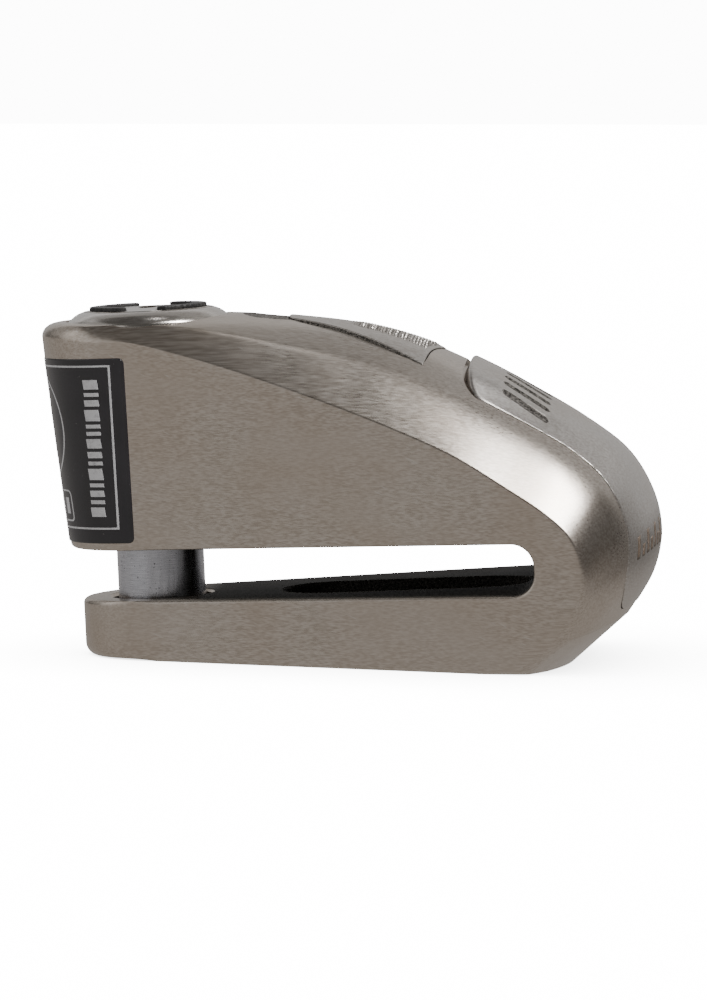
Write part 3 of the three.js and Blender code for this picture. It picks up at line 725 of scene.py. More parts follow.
def make_grip(materials):
    place, y = grip_plan()
    x = crown_points(place, y)[..., 0]
    share = abs(y) / np.maximum(grip_half(x), 0.1)
    inside = smoothstep(x, *KNURL_REAR) * (1 - smoothstep(x, *KNURL_FRONT))
    inside = inside * (1 - smoothstep(share, *KNURL_SIDE))
    knurl = abs(np.sin(math.pi * (x + y) / KNURL_PITCH)) * abs(np.sin(math.pi * (x - y) / KNURL_PITCH))
    rise = GRIP_RISE + inside * (knurl * KNURL_HEIGHT - KNURL_SINK)
    return raised_patch("thumb_grip", (place, y), rise, GRIP_DEPTH, 0.16, materials, (1, 1, 0))


STRIP_REAR = 15.4
STRIP_FRONT = 25.5
STRIP_HALF = 5.7
STRIP_ROUND = 3.2  # length of its round rear end


def strip_plan(margin=0.0):
    """A shallow, rough strip behind the grip, round at its rear."""
    x = crowded(STRIP_REAR - margin, STRIP_FRONT, 60)
    beyond = np.clip((STRIP_REAR + STRIP_ROUND - x) / (STRIP_ROUND + margin + 0.01), 0, 1)
    half = (STRIP_HALF + margin) * np.sqrt(1 - beyond**2) * lerp(1, 0.82, smoothstep(x, 20, STRIP_FRONT))
    across = np.sin(np.linspace(-math.pi / 2, math.pi / 2, 40))
    x, across = np.broadcast_arrays(x[:, None], across[None, :])
    y = across * (half[:, None] + 0.02)
    return place_where(0, x, y, 1, 9), y


def valley_cutter(materials):
    """A shallow valley along both sides of the grip, deepest at its edge."""
    x = crowded(GRIP_REAR + 0.4, GRIP_WIDE + 0.5, 90)
    beside = lerp(1.2, 2.2, smoothstep(x, 23, 29)) * (1 - smoothstep(x, 36, GRIP_WIDE + 0.5)) + 0.1
    half = (grip_half(np.minimum(x, GRIP_WIDE)) + beside)[:, None]
    x, across = np.broadcast_arrays(x[:, None], np.linspace(-1, 1, 121)[None, :])
    y = across * half
    from_grip = np.clip((abs(y) - grip_half(x)) / np.maximum(half - grip_half(x), 0.01), 0, 1)
    ends = smoothstep(x, GRIP_REAR + 0.4, GRIP_REAR + 2.4)
    ends = ends * (1 - smoothstep(x, GRIP_WIDE - 3, GRIP_WIDE + 0.4))
    depth = VALLEY_DEPTH * (1 - from_grip) ** 1.5 * ends
    place = place_where(0, x, y, 2, 9)
    levels = [crown_points(place, y, lift) for lift in (0.02 - depth, CUTTER_TOP)]
    return stack("valley", levels, materials, (2, 2, 2))


# ---------- openings ----------
def loft(name, rings, materials, slot=0):
    """A closed solid through rings of the same number of points."""
    columns = len(rings[0])
    faces = grid_faces(len(rings), columns, wrap_columns=True)
    faces.append(list(range(columns))[::-1])
    faces.append([(len(rings) - 1) * columns + column for column in range(columns)])
    made = new_mesh(name, np.concatenate(rings), faces, materials, [slot] * len(faces))
    return outward(made)


def stadium(left, right, half, z):
    """A level outline with straight sides and round ends."""
    turn = np.radians(np.linspace(90, 270, 24))
    rear = np.stack([left + half * np.cos(turn), half * np.sin(turn)], -1)
    front = np.stack([right - half * np.cos(turn), -half * np.sin(turn)], -1)
    plan = np.concatenate([rear, front])
    return np.concatenate([plan, np.full((len(plan), 1), z)], 1)


POCKET_START = 19.6
POCKET_END = 59.9
POCKET_HALF = 8.5
POCKET_DEPTH = 3.5


def pocket_cutter(materials):
    left, right = POCKET_START + POCKET_HALF, POCKET_END - POCKET_HALF
    levels = [(-1.0, -POCKET_DEPTH), (-0.35, -3.3), (0, -2.7), (0, -0.35), (0.3, 0.02), (0.3, 2)]
    rings = [stadium(left, right, POCKET_HALF + grow, z) for grow, z in levels]
    return loft("pocket", rings, materials, 1)


def body_cutters(materials):
    seat_radius = CAP_RADIUS + 0.2
    bores = [(0, 7.6), (8.3, 7.6), (7.95, SLOT_GAP), (7.6, 8.5), (7.6, 9.6), (9.5, 9.6), (9.5, 13.9)]
    bores += [(BARREL_BORE, 13.9), (BARREL_BORE, CAP_SEAT), (seat_radius, CAP_SEAT)]
    bores += [(seat_radius, 60), (0, 60)]
    jaw_hole = [(0, -6.5), (7.6, -6.5), (8.15, -6.1), (8.15, -0.5), (8.6, 0.02), (8.6, 2), (0, 2)]

    def grip_bed_plan(margin):
        return grip_plan(margin, 50, 30)

    return [
        bed_cutter("plate_bed", plate_plan, PLATE_DEPTH + 0.2, 0.13, 0.06, materials),
        valley_cutter(materials),
        bed_cutter("strip", strip_plan, 0.18, 0.0, 0.08, materials, (1, 1, 0)),
        bed_cutter("grip_bed", grip_bed_plan, GRIP_DEPTH + 0.2, 0.12, 0.02, materials, (1, 1, 1)),
        turned("bores", bores, materials),
        turned("jaw_hole", jaw_hole, materials),
        pocket_cutter(materials),
    ]


# ---------- label ----------
LABEL_FRONT = -2.3
LABEL_BOTTOM = 9.3
LABEL_TOP = 38.8
LABEL_CORNER = 0.9
LABEL_LENGTH = 44
FRAME_INSET = 2.3
BAR_HEIGHTS = (1.5, 0.6, 1.0, 0.6, 1.8, 0.6, 1.0, 1.5, 0.6, 0.6, 1.8, 1.0, 0.6, 1.5)
BAR_GAP = 0.55
RING_RADIUS = 8.6
SHACKLE_RADIUS = 2.1
ARC_END = math.pi / 2 - TAPER


def rear_wall(along, z, grow):
    """Point of the rear wall. along = distance round it from the middle plane, negative towards -Y."""
    along, z = np.broadcast_arrays(np.asarray(along, float), z)
    edge_x = wall_edge(wall_ridge(z) - grow, z, grow)
    radius = half_width(edge_x, z, grow) / math.cos(TAPER)
    turn = np.clip(along / radius, -ARC_END, ARC_END)
    beyond = abs(along) - radius * abs(turn)
    x = edge_x - radius * (np.cos(turn) - math.sin(TAPER)) + beyond * math.cos(TAPER)
    y = radius * np.sin(turn) + np.sign(along) * beyond * math.sin(TAPER)
    return np.stack([x, y, z], -1)


def label_half(z):
    """Distance round the wall from the middle plane to the label's front edge."""
    edge_x = wall_edge(wall_ridge(z), z)
    radius = half_width(edge_x, z) / math.cos(TAPER)
    return radius * ARC_END + (LABEL_FRONT - edge_x) / math.cos(TAPER)


def make_label(film):
    height = LABEL_TOP - LABEL_BOTTOM
    z = (LABEL_BOTTOM + clustered(height, 0.8))[:, None]
    from_end = np.minimum(z - LABEL_BOTTOM, LABEL_TOP - z)
    shrink = rounded_edge(np.maximum(from_end, 0), LABEL_CORNER)
    across = (2 * clustered(LABEL_LENGTH, 0.5) / LABEL_LENGTH - 1)[None, :]
    along = across * (label_half(z) - shrink)
    z = np.broadcast_to(z, along.shape)
    levels = [rear_wall(along, z, grow) for grow in (0.0, 0.09)]
    lifted = 0.1 + 0.05 * smoothstep(border_distance(levels[1]), 0, 0.12)
    levels.append(rear_wall(along, z, lifted))
    return stack("label_film", levels, [film])


def wall_stroke(path, width, material, closed=False):
    """A thin raised line on the label. path = points (distance round the wall, z)."""
    path = np.asarray(path, float)
    following = np.roll(path, -1, 0) if closed else path[1:]
    dense = []
    for start, end in zip(path, following):
        count = max(int(np.linalg.norm(end - start) / 0.5), 1)
        dense += [lerp(start, end, step / count) for step in range(count)]
    if not closed:
        dense.append(path[-1])
    dense = np.array(dense)
    ahead = np.roll(dense, -1, 0) - dense
    if not closed:
        ahead[-1] = ahead[-2]
    ahead = unit(ahead)
    back = np.roll(ahead, 1, 0)
    if not closed:
        back[0] = ahead[0]
    tangent = unit(back + ahead)
    normal = np.stack([-tangent[:, 1], tangent[:, 0]], -1)
    stretch = 1 / np.maximum((tangent * ahead).sum(1), 0.4)
    offset = normal * (width / 2 * stretch)[:, None]
    sides = [dense - offset, dense + offset]
    corners = [(sides[0], 0.1), (sides[1], 0.1), (sides[1], 0.18), (sides[0], 0.18)]
    grid = np.stack([rear_wall(side[:, 0], side[:, 1], grow) for side, grow in corners], 1)
    faces = grid_faces(len(grid), 4, wrap_rows=closed, wrap_columns=True)
    if not closed:
        last = (len(grid) - 1) * 4
        faces += [(0, 1, 2, 3), (last + 3, last + 2, last + 1, last)]
    return outward(new_mesh("stroke", grid, faces, [material], smooth=False))


def arc_path(x, z, radius, start, end, steps):
    angles = np.radians(np.linspace(start, end, steps))
    return [(x + radius * math.cos(angle), z + radius * math.sin(angle)) for angle in angles]


def rounded_box(left, right, low, high, radius):
    corners = [(right - radius, high - radius), (left + radius, high - radius)]
    corners += [(left + radius, low + radius), (right - radius, low + radius)]
    path = []
    for number, (x, z) in enumerate(corners):
        path += arc_path(x, z, radius, 90 * number, 90 * number + 90, 6)
    return path


def make_label_print(ink):
    """A frame line, two columns of plain bars, and a padlock sign in a ring at the middle."""
    frame_line = []
    for side in (-1, 1):
        heights = np.linspace(LABEL_BOTTOM + 2.4, LABEL_TOP - 1.2, 12)[:: -side]
        frame_line += [(side * (label_half(z) - FRAME_INSET), z) for z in heights]
    strokes = [wall_stroke(frame_line, 0.3, ink, closed=True)]
    for side in (-1, 1):
        z = 13.6
        for bar in BAR_HEIGHTS:
            ends = [(side * (label_half(z) - inset), z + bar / 2) for inset in (4.3, 6.9)]
            strokes.append(wall_stroke(ends, bar, ink))
            z += bar + BAR_GAP
    strokes.append(wall_stroke(rounded_box(-7.8, 7.8, 12.8, 17.6, 0.8), 0.26, ink, closed=True))
    for number in range(6):
        x = -6.1 + number * 2.45
        strokes.append(wall_stroke([(x, 13.9), (x, 16.5)], 1.3, ink))
    strokes.append(wall_stroke(arc_path(0, 28, RING_RADIUS, 0, 360, 61)[:-1], 0.35, ink, closed=True))
    strokes.append(wall_stroke([(-3.2, 25.2), (3.2, 25.2)], 5.0, ink))
    shackle = [(-SHACKLE_RADIUS, 27.6)] + arc_path(0, 29.4, SHACKLE_RADIUS, 180, 0, 14)
    strokes.append(wall_stroke(shackle + [(SHACKLE_RADIUS, 27.6)], 0.8, ink))
    return joined("label_print", strokes)


# ---------- plunger ----------
def make_cap(steel):
    recess = 10.25
    skirt = [(6.2, 0), (10.8, 0), (10.8, -0.7), (12.95, -0.7), (CAP_RADIUS, -0.6), (CAP_RADIUS, -0.3)]
    cone = [(13.04, -0.08), (12.86, 0.2), (12.5, 0.56), (12.0, 0.96), (11.5, 1.28), (11.0, 1.5)]
    rim = [(10.6, 1.64), (10.36, 1.72), (10.27, 1.7), (recess, 1.6), (recess, 1.25), (6.2, 1.25)]
    profile = [(radius, CAP_BASE + height) for radius, height in skirt + cone + rim]
    return outward(turned("cap_rim", profile, [steel], 160))


CRESCENT_INNER = 7.0
CRESCENT_OUTER = 9.4
CRESCENT_SPREAD = math.radians(72)
RIB_COUNT = 48  # for a whole turn


def crescent(name, middle, levels, margin, materials, ribs=0.0, slot=0):
    """A sector round the bolt's axis with round ends. middle = its direction in degrees, levels = (swell,
    height over the cap's base) from the bottom up, ribs = depth of the ribs along its outer side."""
    rings = []
    for grow, height in levels:
        inner, outer = CRESCENT_INNER - margin - grow, CRESCENT_OUTER + margin + grow
        centre, half = (inner + outer) / 2, (outer - inner) / 2
        spread = CRESCENT_SPREAD - (CRESCENT_OUTER - CRESCENT_INNER) / 2 / centre + (margin + grow) / centre
        path = []
        for sign, radius in ((1, outer), (-1, inner)):
            for t in np.linspace(-spread, spread, 91):
                tooth = ribs * (0.5 + 0.5 * math.cos(t * RIB_COUNT)) if sign > 0 else 0
                path.append((radius - tooth, sign * t))
            for t in np.linspace(0, math.pi, 9)[1:-1]:
                turn = sign * (spread + half * math.sin(t) / centre)
                path.append((centre + sign * half * math.cos(t), turn))
        start = math.radians(middle)
        rings.append([(r * math.cos(a + start), r * math.sin(a + start), CAP_BASE + height) for r, a in path])
    return loft(name, rings, materials, slot)


def make_shutter(materials):
    rim = [(0, 1.55), (9.9, 1.55), (10.0, 1.62), (10.0, 1.74), (9.92, 1.81), (9.4, 1.87)]
    dome = [(r, 2.1 - 0.19 * (r / 8.8) ** 2.2) for r in np.linspace(8.8, 0, 12)]
    profile = [(radius, CAP_BASE + height) for radius, height in rim + dome]
    disc = outward(turned("shutter_disc", profile, materials, 160))
    keyway = []
    for grow, height in ((0, 0.5), (0, 1.95), (0.14, 2.12), (0.14, 3.5)):
        ring = stadium(-2.6, 2.6, 1.5 + grow, CAP_BASE + height)
        keyway.append(ring[:, [1, 0, 2]] * (1, -1, 1))
    tools = [loft("keyway", keyway, materials)]
    seat = [(0, 1.82), (0, 1.95), (0.1, 2.08), (0.1, 3.5)]
    for middle in (0, 180):
        tools.append(crescent("grip_seat", middle, seat, 0.12, materials, slot=1))
    return cut(disc, tools)


def make_shutter_grip(name, middle, plastic):
    levels = [(0, 1.9), (0, 2.28), (-0.06, 2.38), (-0.2, 2.44), (-0.5, 2.46)]
    return crescent(name, middle, levels, 0.0, [plastic], ribs=0.16)


def make_bolt(steel):
    foot = [(0, -5.5), (5.9, -5.5), (6.1, -5.46), (6.92, -4.72), (7.0, -4.5)]
    shaft = [(7.0, z) for z in np.linspace(-4, 13, 18)]
    neck = [(7.0, 13.35), (6.8, 13.6), (5.2, 13.6), (5.0, 13.8), (5.0, 20.1), (4.9, 20.2)]
    screw_hole = [(1.95, 20.2), (1.95, 12.4), (0, 12.4)]
    return outward(turned("bolt_shaft", foot + shaft + neck + screw_hole, [steel]))


# ---------- materials ----------
class Nodes:
    """Builds a node tree. An input is given as a value or as another node's output."""

    def __init__(self, owner):
        owner.use_nodes = True
        self.tree = owner.node_tree

    def feed(self, node, inputs):
        for socket, value in inputs.items():
            if isinstance(value, bpy.types.NodeSocket):
                self.tree.links.new(value, node.inputs[socket])
            else:
                node.inputs[socket].default_value = value

    def node(self, kind, inputs=None, **settings):
        made = self.tree.nodes.new(kind)
        for setting, value in settings.items():
            setattr(made, setting, value)
        self.feed(made, inputs or {})
        return made

    def split(self, lighting, seen, output):
        """Lights the object with one node, and shows another to the camera."""
        path = self.node("ShaderNodeLightPath")
        shaders = {0: path.outputs["Is Camera Ray"], 1: lighting.outputs[0], 2: seen.outputs[0]}
        mixed = self.node("ShaderNodeMixShader", shaders)
        self.feed(self.tree.nodes[output], {"Surface": mixed.outputs[0]})


class Finish(Nodes):
    """A procedural material in the making. Lengths in its textures are in metres."""

    def __init__(self, name, **constants):
        self.material = bpy.data.materials.new(name)
        super().__init__(self.material)
        self.shader = self.tree.nodes["Principled BSDF"]
        self.set(**constants)
        self.object = self.node("ShaderNodeTexCoord").outputs["Object"]

    def set(self, **sockets):
        self.feed(self.shader, {socket.replace("_", " "): value for socket, value in sockets.items()})

    def done(self, colour, rough, height, distance, strength):
        """Sets colour, roughness and a bump that raises height by distance."""
        bump = self.node("ShaderNodeBump", {"Height": height, "Distance": distance, "Strength": strength})
        self.set(Base_Color=colour, Roughness=rough, Normal=bump.outputs["Normal"])
        return self.material

    def mapped(self, scale, turn=(0, 0, 0)):
        turned_to = self.node("ShaderNodeMapping", {"Vector": self.object, "Rotation": turn})
        return self.node("ShaderNodeMapping", {"Vector": turned_to.outputs[0], "Scale": scale}).outputs[0]

    def slot_axes(self):
        """Coordinates X, Y and Z of the slot frame, in metres."""
        at = self.node("ShaderNodeMapping", {"Vector": self.object, "Location": -Vector(ORIGIN)})
        level = self.node("ShaderNodeMapping", {"Vector": at.outputs[0], "Rotation": (0, TILT, 0)})
        return self.node("ShaderNodeSeparateXYZ", {"Vector": level.outputs[0]}).outputs

    def around(self, scale):
        """Coordinates round the bolt's axis: radius, angle and height, scaled."""
        axes = self.slot_axes()
        angle = self.math("ABSOLUTE", self.math("ARCTAN2", axes["Y"], axes["X"]))
        flat = self.node("ShaderNodeCombineXYZ", {"X": axes["X"], "Y": axes["Y"]})
        radius = self.node("ShaderNodeVectorMath", {0: flat.outputs[0]}, operation="LENGTH").outputs["Value"]
        polar = {"XYZ"[n]: self.times(at, scale[n]) for n, at in enumerate((radius, angle, axes["Z"]))}
        return self.node("ShaderNodeCombineXYZ", polar).outputs[0]

    def slot_shade_mask(self):
        """Mask of painted shade: 0 outside the slot, 1 on its own surfaces in front of the bolt, fading to 0.12
        behind it.
        """
        axes = self.slot_axes()
        from_middle = self.math("ABSOLUTE", self.math("SUBTRACT", axes["Z"], SLOT_GAP / 2 * MM))
        squares = []
        for reach, end in ((from_middle, SLOT_GAP / 2), (axes["X"], SLOT_ROOT)):
            beyond = self.math("SUBTRACT", reach, (end - SLOT_CORNER) * MM)
            squares.append(self.math("POWER", self.math("MAXIMUM", beyond, 0.0), 2.0))
        from_corner = self.math("SQRT", self.add(*squares))
        inside = self.remap(from_corner, (SLOT_CORNER + 0.2) * MM, (SLOT_CORNER + 0.03) * MM)
        # painted shade, weaker behind the bolt, outside the upper jaw's overhang
        return self.times(inside, self.remap(axes["X"], -0.002, 0.009, 0.12, 1.0))

    def math(self, operation, a, b=0.0):
        return self.node("ShaderNodeMath", {0: a, 1: b}, operation=operation).outputs[0]

    def add(self, a, b):
        return self.math("ADD", a, b)

    def times(self, a, b):
        return self.math("MULTIPLY", a, b)

    def noise(self, vector, scale=1.0, detail=2.0, roughness=0.5):
        inputs = {"Vector": vector, "Scale": scale, "Detail": detail, "Roughness": roughness}
        return self.node("ShaderNodeTexNoise", inputs).outputs["Fac"]

    def remap(self, value, low, high, to_low=0.0, to_high=1.0):
        inputs = {"Value": value, "From Min": low, "From Max": high, "To Min": to_low, "To Max": to_high}
        return self.node("ShaderNodeMapRange", inputs).outputs["Result"]

    def blend(self, share, low, high):
        return self.node("ShaderNodeMix", {0: share, 6: low, 7: high}, data_type="RGBA").outputs[2]


def grey(value, warmth=0.0):
    return (value * (1 + warmth), value, value * (1 - warmth), 1)


def brushed_steel(name, level, warmth, roughness=0.3, polar=False, painted_slot_shade=False):
    """Satin steel with streaks of brushing along X, or round the bolt's axis.
    The last flag darkens the slot's own surfaces with painted shade: the shade inside the slot, painted into
    colour, roughness and metalness."""
    made = Finish(name, Metallic=1.0)
    if polar:
        long_streaks = made.noise(made.around((4000, 5, 4000)), detail=2)
        fine_streaks = made.noise(made.around((9000, 12, 9000)), detail=1)
    else:
        long_streaks = made.noise(made.mapped((130, 3000, 3000), (0, TILT, 0)), detail=1)
        fine_streaks = made.noise(made.mapped((420, 6500, 6500), (0.02, TILT - 0.05, 0.03)), detail=0)
    scratches = made.noise(made.mapped((120, 3600, 3600), (0.1, TILT + 0.22, 0.1)), detail=1)
    nicks = made.noise(made.mapped((240, 2600, 2600), (0.1, TILT - 0.5, 0.2)), detail=1)
    clouds = made.noise(made.object, 60)
    patches = made.noise(made.mapped((45, 120, 120), (0, TILT, 0)))
    streaks = made.add(made.times(long_streaks, 0.55), made.times(fine_streaks, 0.45))
    light = made.remap(streaks, 0.36, 0.64)
    colour = made.blend(light, grey(level * 0.78, warmth + 0.02), grey(level * 1.12, warmth - 0.02))
    colour = made.blend(made.remap(clouds, 0.42, 0.68, 0, 0.45), colour, grey(level * 0.8, warmth + 0.07))
    colour = made.blend(made.remap(patches, 0.45, 0.75, 0, 0.4), colour, grey(level * 1.08, warmth - 0.03))
    colour = made.blend(made.remap(scratches, 0.7, 0.78, 0, 0.12), colour, grey(level * 0.6, warmth))
    colour = made.blend(made.remap(nicks, 0.72, 0.8, 0, 0.4), colour, grey(level * 1.4, 0.04))
    rough = made.add(made.remap(streaks, 0.3, 0.7, -0.03, 0.03), made.remap(clouds, 0.3, 0.7, -0.015, 0.03))
    rough = made.add(rough, roughness)
    if painted_slot_shade:
        # painted shade: the slot's own surfaces made dark, rough and barely metallic
        inside = made.slot_shade_mask()
        colour = made.blend(made.times(inside, 0.94), colour, (0.035, 0.03, 0.025, 1))
        rough = made.add(rough, made.times(inside, 0.3))
        metal = made.remap(inside, 0.0, 1.0, 1.0, 0.1)
        made.set(Metallic=metal, Specular_IOR_Level=made.remap(inside, 0.0, 1.0, 0.5, 0.04))
    return made.done(colour, rough, long_streaks, 0.000001, 0.4)


def rough_dark(name, level):
    """Cast, unpolished floor of the recesses: its grit is the cast texture, its dark tone is painted shade."""
    made = Finish(name, Metallic=0.2, Specular_IOR_Level=0.12)
    grit = made.noise(made.object, 2600, 4, 0.65)
    lumps = made.noise(made.object, 900)
    colour = made.blend(made.remap(grit, 0.38, 0.66), grey(level * 0.35, 0.1), grey(level * 2.6, 0.08))
    height = made.add(grit, made.times(lumps, 0.8))
    return made.done(colour, made.remap(lumps, 0.3, 0.7, 0.5, 0.8), height, 0.00022, 0.9)


def bolt_steel():
    made = Finish("bolt_steel", Metallic=1.0)
    lathe_lines = made.noise(made.around((9000, 3, 7000)), detail=3)
    scuffs = made.noise(made.mapped((900, 900, 160)), detail=3)
    specks = made.noise(made.object, 1900)
    colour = made.blend(made.remap(lathe_lines, 0.35, 0.65), (0.46, 0.465, 0.5, 1), (0.6, 0.605, 0.65, 1))
    colour = made.blend(made.remap(specks, 0.66, 0.72), colour, (0.12, 0.12, 0.13, 1))
    rough = made.remap(scuffs, 0.35, 0.65, 0.2, 0.34)
    rough = made.add(rough, made.remap(lathe_lines, 0.3, 0.7, -0.04, 0.04))
    return made.done(colour, rough, lathe_lines, 0.000008, 0.5)


def label_film():
    made = Finish("label_film", Coat_Weight=0.35, Coat_Roughness=0.18)
    dust = made.noise(made.object, 2400)
    smears = made.noise(made.object, 160, 3)
    colour = made.blend(made.remap(smears, 0.35, 0.7), (0.014, 0.012, 0.016, 1), (0.026, 0.022, 0.028, 1))
    colour = made.blend(made.remap(dust, 0.73, 0.77), colour, (0.13, 0.12, 0.12, 1))
    return made.done(colour, made.remap(smears, 0.3, 0.7, 0.3, 0.46), smears, 0.00003, 0.3)


def clouded(name, low, high, scale, spread, rough, distance):
    """Ink or rubber whose tint, gloss and relief all follow one cloudy texture."""
    made = Finish(name)
    clouds = made.noise(made.object, scale, 3)
    colour = made.blend(made.remap(clouds, *spread), low, high)
    return made.done(colour, made.remap(clouds, 0.3, 0.7, *rough), clouds, distance, 0.4)


def print_ink(name, fresh, rubbed):
    return clouded(name, fresh, rubbed, 1500, (0.5, 0.72), (0.38, 0.55), 0.00001)


def seal_rubber():
    dark, bloom = (0.01, 0.01, 0.01, 1), (0.028, 0.028, 0.027, 1)
    return clouded("seal_rubber", dark, bloom, 1200, (0.4, 0.7), (0.6, 0.82), 0.00003)


def moulded_plastic():
    made = Finish("moulded_plastic")
    grain = made.noise(made.object, 5200)
    wear = made.noise(made.object, 700, 3)
    colour = made.blend(made.remap(wear, 0.4, 0.7), (0.012, 0.011, 0.011, 1), (0.04, 0.037, 0.035, 1))
    return made.done(colour, made.remap(grain, 0.3, 0.7, 0.42, 0.6), grain, 0.00003, 0.6)


def machined(name, low, high, roughness):
    """Turned or stamped metal with fine tool lines round the bolt's axis."""
    made = Finish(name, Metallic=1.0)
    lines = made.noise(made.around((6000, 5, 6000)), detail=3)
    stains = made.noise(made.object, 420, 3)
    colour = made.blend(made.remap(lines, 0.35, 0.65), low, high)
    dark = tuple(channel * 0.55 for channel in low[:3]) + (1,)
    colour = made.blend(made.remap(stains, 0.56, 0.76), colour, dark)
    rough = made.add(made.remap(stains, 0.3, 0.7, -0.05, 0.1), roughness)
    return made.done(colour, rough, lines, 0.000012, 0.5)


# ---------- assembly ----------
# the body's steel, with painted shade on the slot's own surfaces
steel = brushed_steel("forged_steel", 0.5, 0.12, painted_slot_shade=True)
shaded = brushed_steel("shaded_steel", 0.3, 0.12, 0.42)
plate_steel = brushed_steel("plate_steel", 0.53, 0.07, 0.36)
cap_steel = brushed_steel("cap_steel", 0.6, 0.06, 0.21, polar=True)
# dark floors and walls of the pocket, grooves, beds and seats: painted shade on a rough cast texture
dark = rough_dark("rough_recess", 0.08)
wall = rough_dark("rough_wall", 0.09)
black = moulded_plastic()
brown_ink = print_ink("laser_brown", (0.15, 0.11, 0.08, 1), (0.27, 0.21, 0.17, 1))
white_ink = print_ink("white_ink", (0.82, 0.82, 0.84, 1), (0.6, 0.6, 0.62, 1))


def fit(piece, body, replaced):
    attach(piece, body)
    if replaced:
        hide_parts(replaced)


body_materials = [steel, dark, shaded]
body = cut(make_body(body_materials), body_cutters(body_materials))
body.name = "forged_body"
fit(finish_shading(body), "housing", "body")
fit(finish_shading(make_nose_plate([plate_steel, dark])), "housing", "nose_plate")
fit(make_laser_ticks(brown_ink), "housing", None)
fit(finish_shading(make_grip([plate_steel, wall])), "housing", "grip_inlay")
fit(make_label(label_film()), "housing", "label")
fit(make_label_print(white_ink), "housing", None)
fit(finish_shading(make_cap(cap_steel)), "plunger", "lock_cap")
fit(finish_shading(make_bolt(bolt_steel())), "plunger", "bolt")
fit(finish_shading(make_shutter([cap_steel, dark])), "shutter", "dust_shutter")
for name, middle in (("shutter_grip_front", 0), ("shutter_grip_rear", 180)):
    shutter_grip = finish_shading(make_shutter_grip(name + "_ribbed", middle, black))
    fit(shutter_grip, "shutter", name)

inner_steel = machined("inner_steel", (0.13, 0.125, 0.12, 1), (0.22, 0.21, 0.2, 1), 0.32)
spring_steel = machined("spring_steel", (0.2, 0.19, 0.19, 1), (0.32, 0.31, 0.31, 1), 0.28)
brass = machined("brass", (0.42, 0.27, 0.09, 1), (0.58, 0.4, 0.16, 1), 0.3)
finishes = {"return_spring": spring_steel, "key_plug": brass, "barrel_seal": seal_rubber()}
for number in range(1, 7):
    finishes[f"detainer_disc_{number}"] = brass
for name in ("bolt_bush", "stop_pin", "cylinder_barrel", "bolt_screw", "tail_cam", "sidebar"):
    finishes[name] = inner_steel
finishes["locking_tongue"] = inner_steel
for name, finish in finishes.items():
    materials = frame["nodes"][name].data.materials
    materials.clear()
    materials.append(finish)

# ---------- stage ----------
BACKDROP = 16.0  # brightness of floor and background to the camera
FLOOR_REACH = 6.0
CENTRE = (Vector(CAD_BOX[0]) + Vector(CAD_BOX[1])) / 2


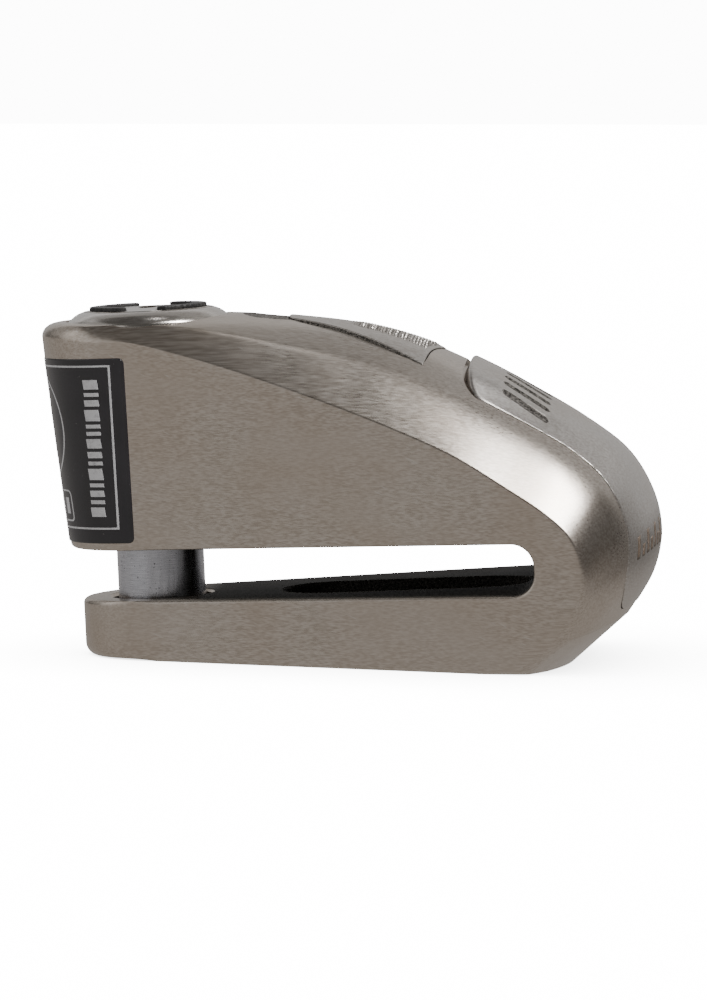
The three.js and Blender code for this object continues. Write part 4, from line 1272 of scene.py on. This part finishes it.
def make_floor():
    mesh = bpy.data.meshes.new("floor")
    corners = [(x * FLOOR_REACH, y * FLOOR_REACH, 0) for x, y in ((-1, -1), (1, -1), (1, 1), (-1, 1))]
    mesh.from_pydata(corners, [], [(0, 1, 2, 3)])
    floor = add_object("floor", mesh)
    material = bpy.data.materials.new("pale_floor")
    mesh.materials.append(material)
    made = Nodes(material)
    made.tree.nodes.remove(made.tree.nodes["Principled BSDF"])
    place = made.node("ShaderNodeTexCoord")
    parts = made.node("ShaderNodeSeparateXYZ", {0: place.outputs["Object"]})
    # painted light: the floor glows instead of being lit, lighting the object and its reflections, dimmer towards
    # +X
    shade = {"Value": parts.outputs["X"], "From Min": 0.05, "From Max": 0.13, "To Min": 0.43, "To Max": 0.18}
    darker_ahead = made.node("ShaderNodeMapRange", shade, interpolation_type="SMOOTHSTEP")
    lit = {"Color": (1, 0.96, 0.92, 1), "Strength": darker_ahead.outputs[0]}
    floor_glow_light = made.node("ShaderNodeEmission", lit)
    # painted contact shadow: the floor's glow to the camera is dimmed near the object
    painted_contact_shadow = made.node("ShaderNodeAmbientOcclusion", {"Distance": 0.03})
    strength = {"Value": painted_contact_shadow.outputs["AO"], "To Min": 2.5, "To Max": BACKDROP}
    glow = made.node("ShaderNodeEmission", {"Strength": made.node("ShaderNodeMapRange", strength).outputs[0]})
    made.split(floor_glow_light, glow, "Material Output")


def make_world():
    world = bpy.data.worlds.new("studio")
    bpy.context.scene.world = world
    made = Nodes(world)
    around = made.tree.nodes["Background"]
    made.feed(around, {"Color": (0.95, 0.93, 0.9, 1), "Strength": 0.1})
    made.split(around, made.node("ShaderNodeBackground", {"Strength": BACKDROP}), "World Output")


def softbox(name, toward, distance, width, height, radiance):
    """An area light seen from the object in the direction toward. radiance is the brightness of its face."""
    direction = Vector(toward).normalized()
    data = bpy.data.lights.new(name, "AREA")
    data.shape = "RECTANGLE"
    data.size = width
    data.size_y = height
    data.energy = radiance * width * height * math.pi
    lamp = add_object(name, data)
    lamp.location = CENTRE + direction * distance
    lamp.rotation_euler = direction.to_track_quat("Z", "Y").to_euler()
    lamp.visible_camera = False


def make_camera():
    yaw = 0.1014  # towards the nose side
    elevation = 0.0891
    distance = 0.8
    target = Vector((0.00044, 0, 0.025027))
    level = math.cos(elevation)
    away = Vector((math.sin(yaw) * level, -math.cos(yaw) * level, math.sin(elevation)))
    data = bpy.data.cameras.new("camera")
    data.sensor_width = 36
    data.lens = 180.06
    camera = add_object("camera", data)
    camera.location = target + away * distance
    camera.rotation_euler = away.to_track_quat("Z", "Y").to_euler()
    bpy.context.scene.camera = camera


make_floor()
make_world()
softbox("nose_box", (0.505, -0.32, 0.795), 0.8, 0.25, 0.25, 38.0)
softbox("back_wall", (0.1, 0.9, 0.33), 1.4, 3.2, 1.1, 0.5)
softbox("ceiling", (0.1, 0.62, 0.78), 1.2, 2.4, 0.75, 0.3)
softbox("overhead", (0.0, 0.1, 0.99), 0.9, 0.09, 0.03, 12.0)
softbox("left_wall", (-0.85, -0.5, 0.12), 1.2, 1.4, 0.9, 0.65)
softbox("left_high", (-0.9, 0.05, 0.5), 1.2, 1.3, 0.9, 0.33)
make_camera()
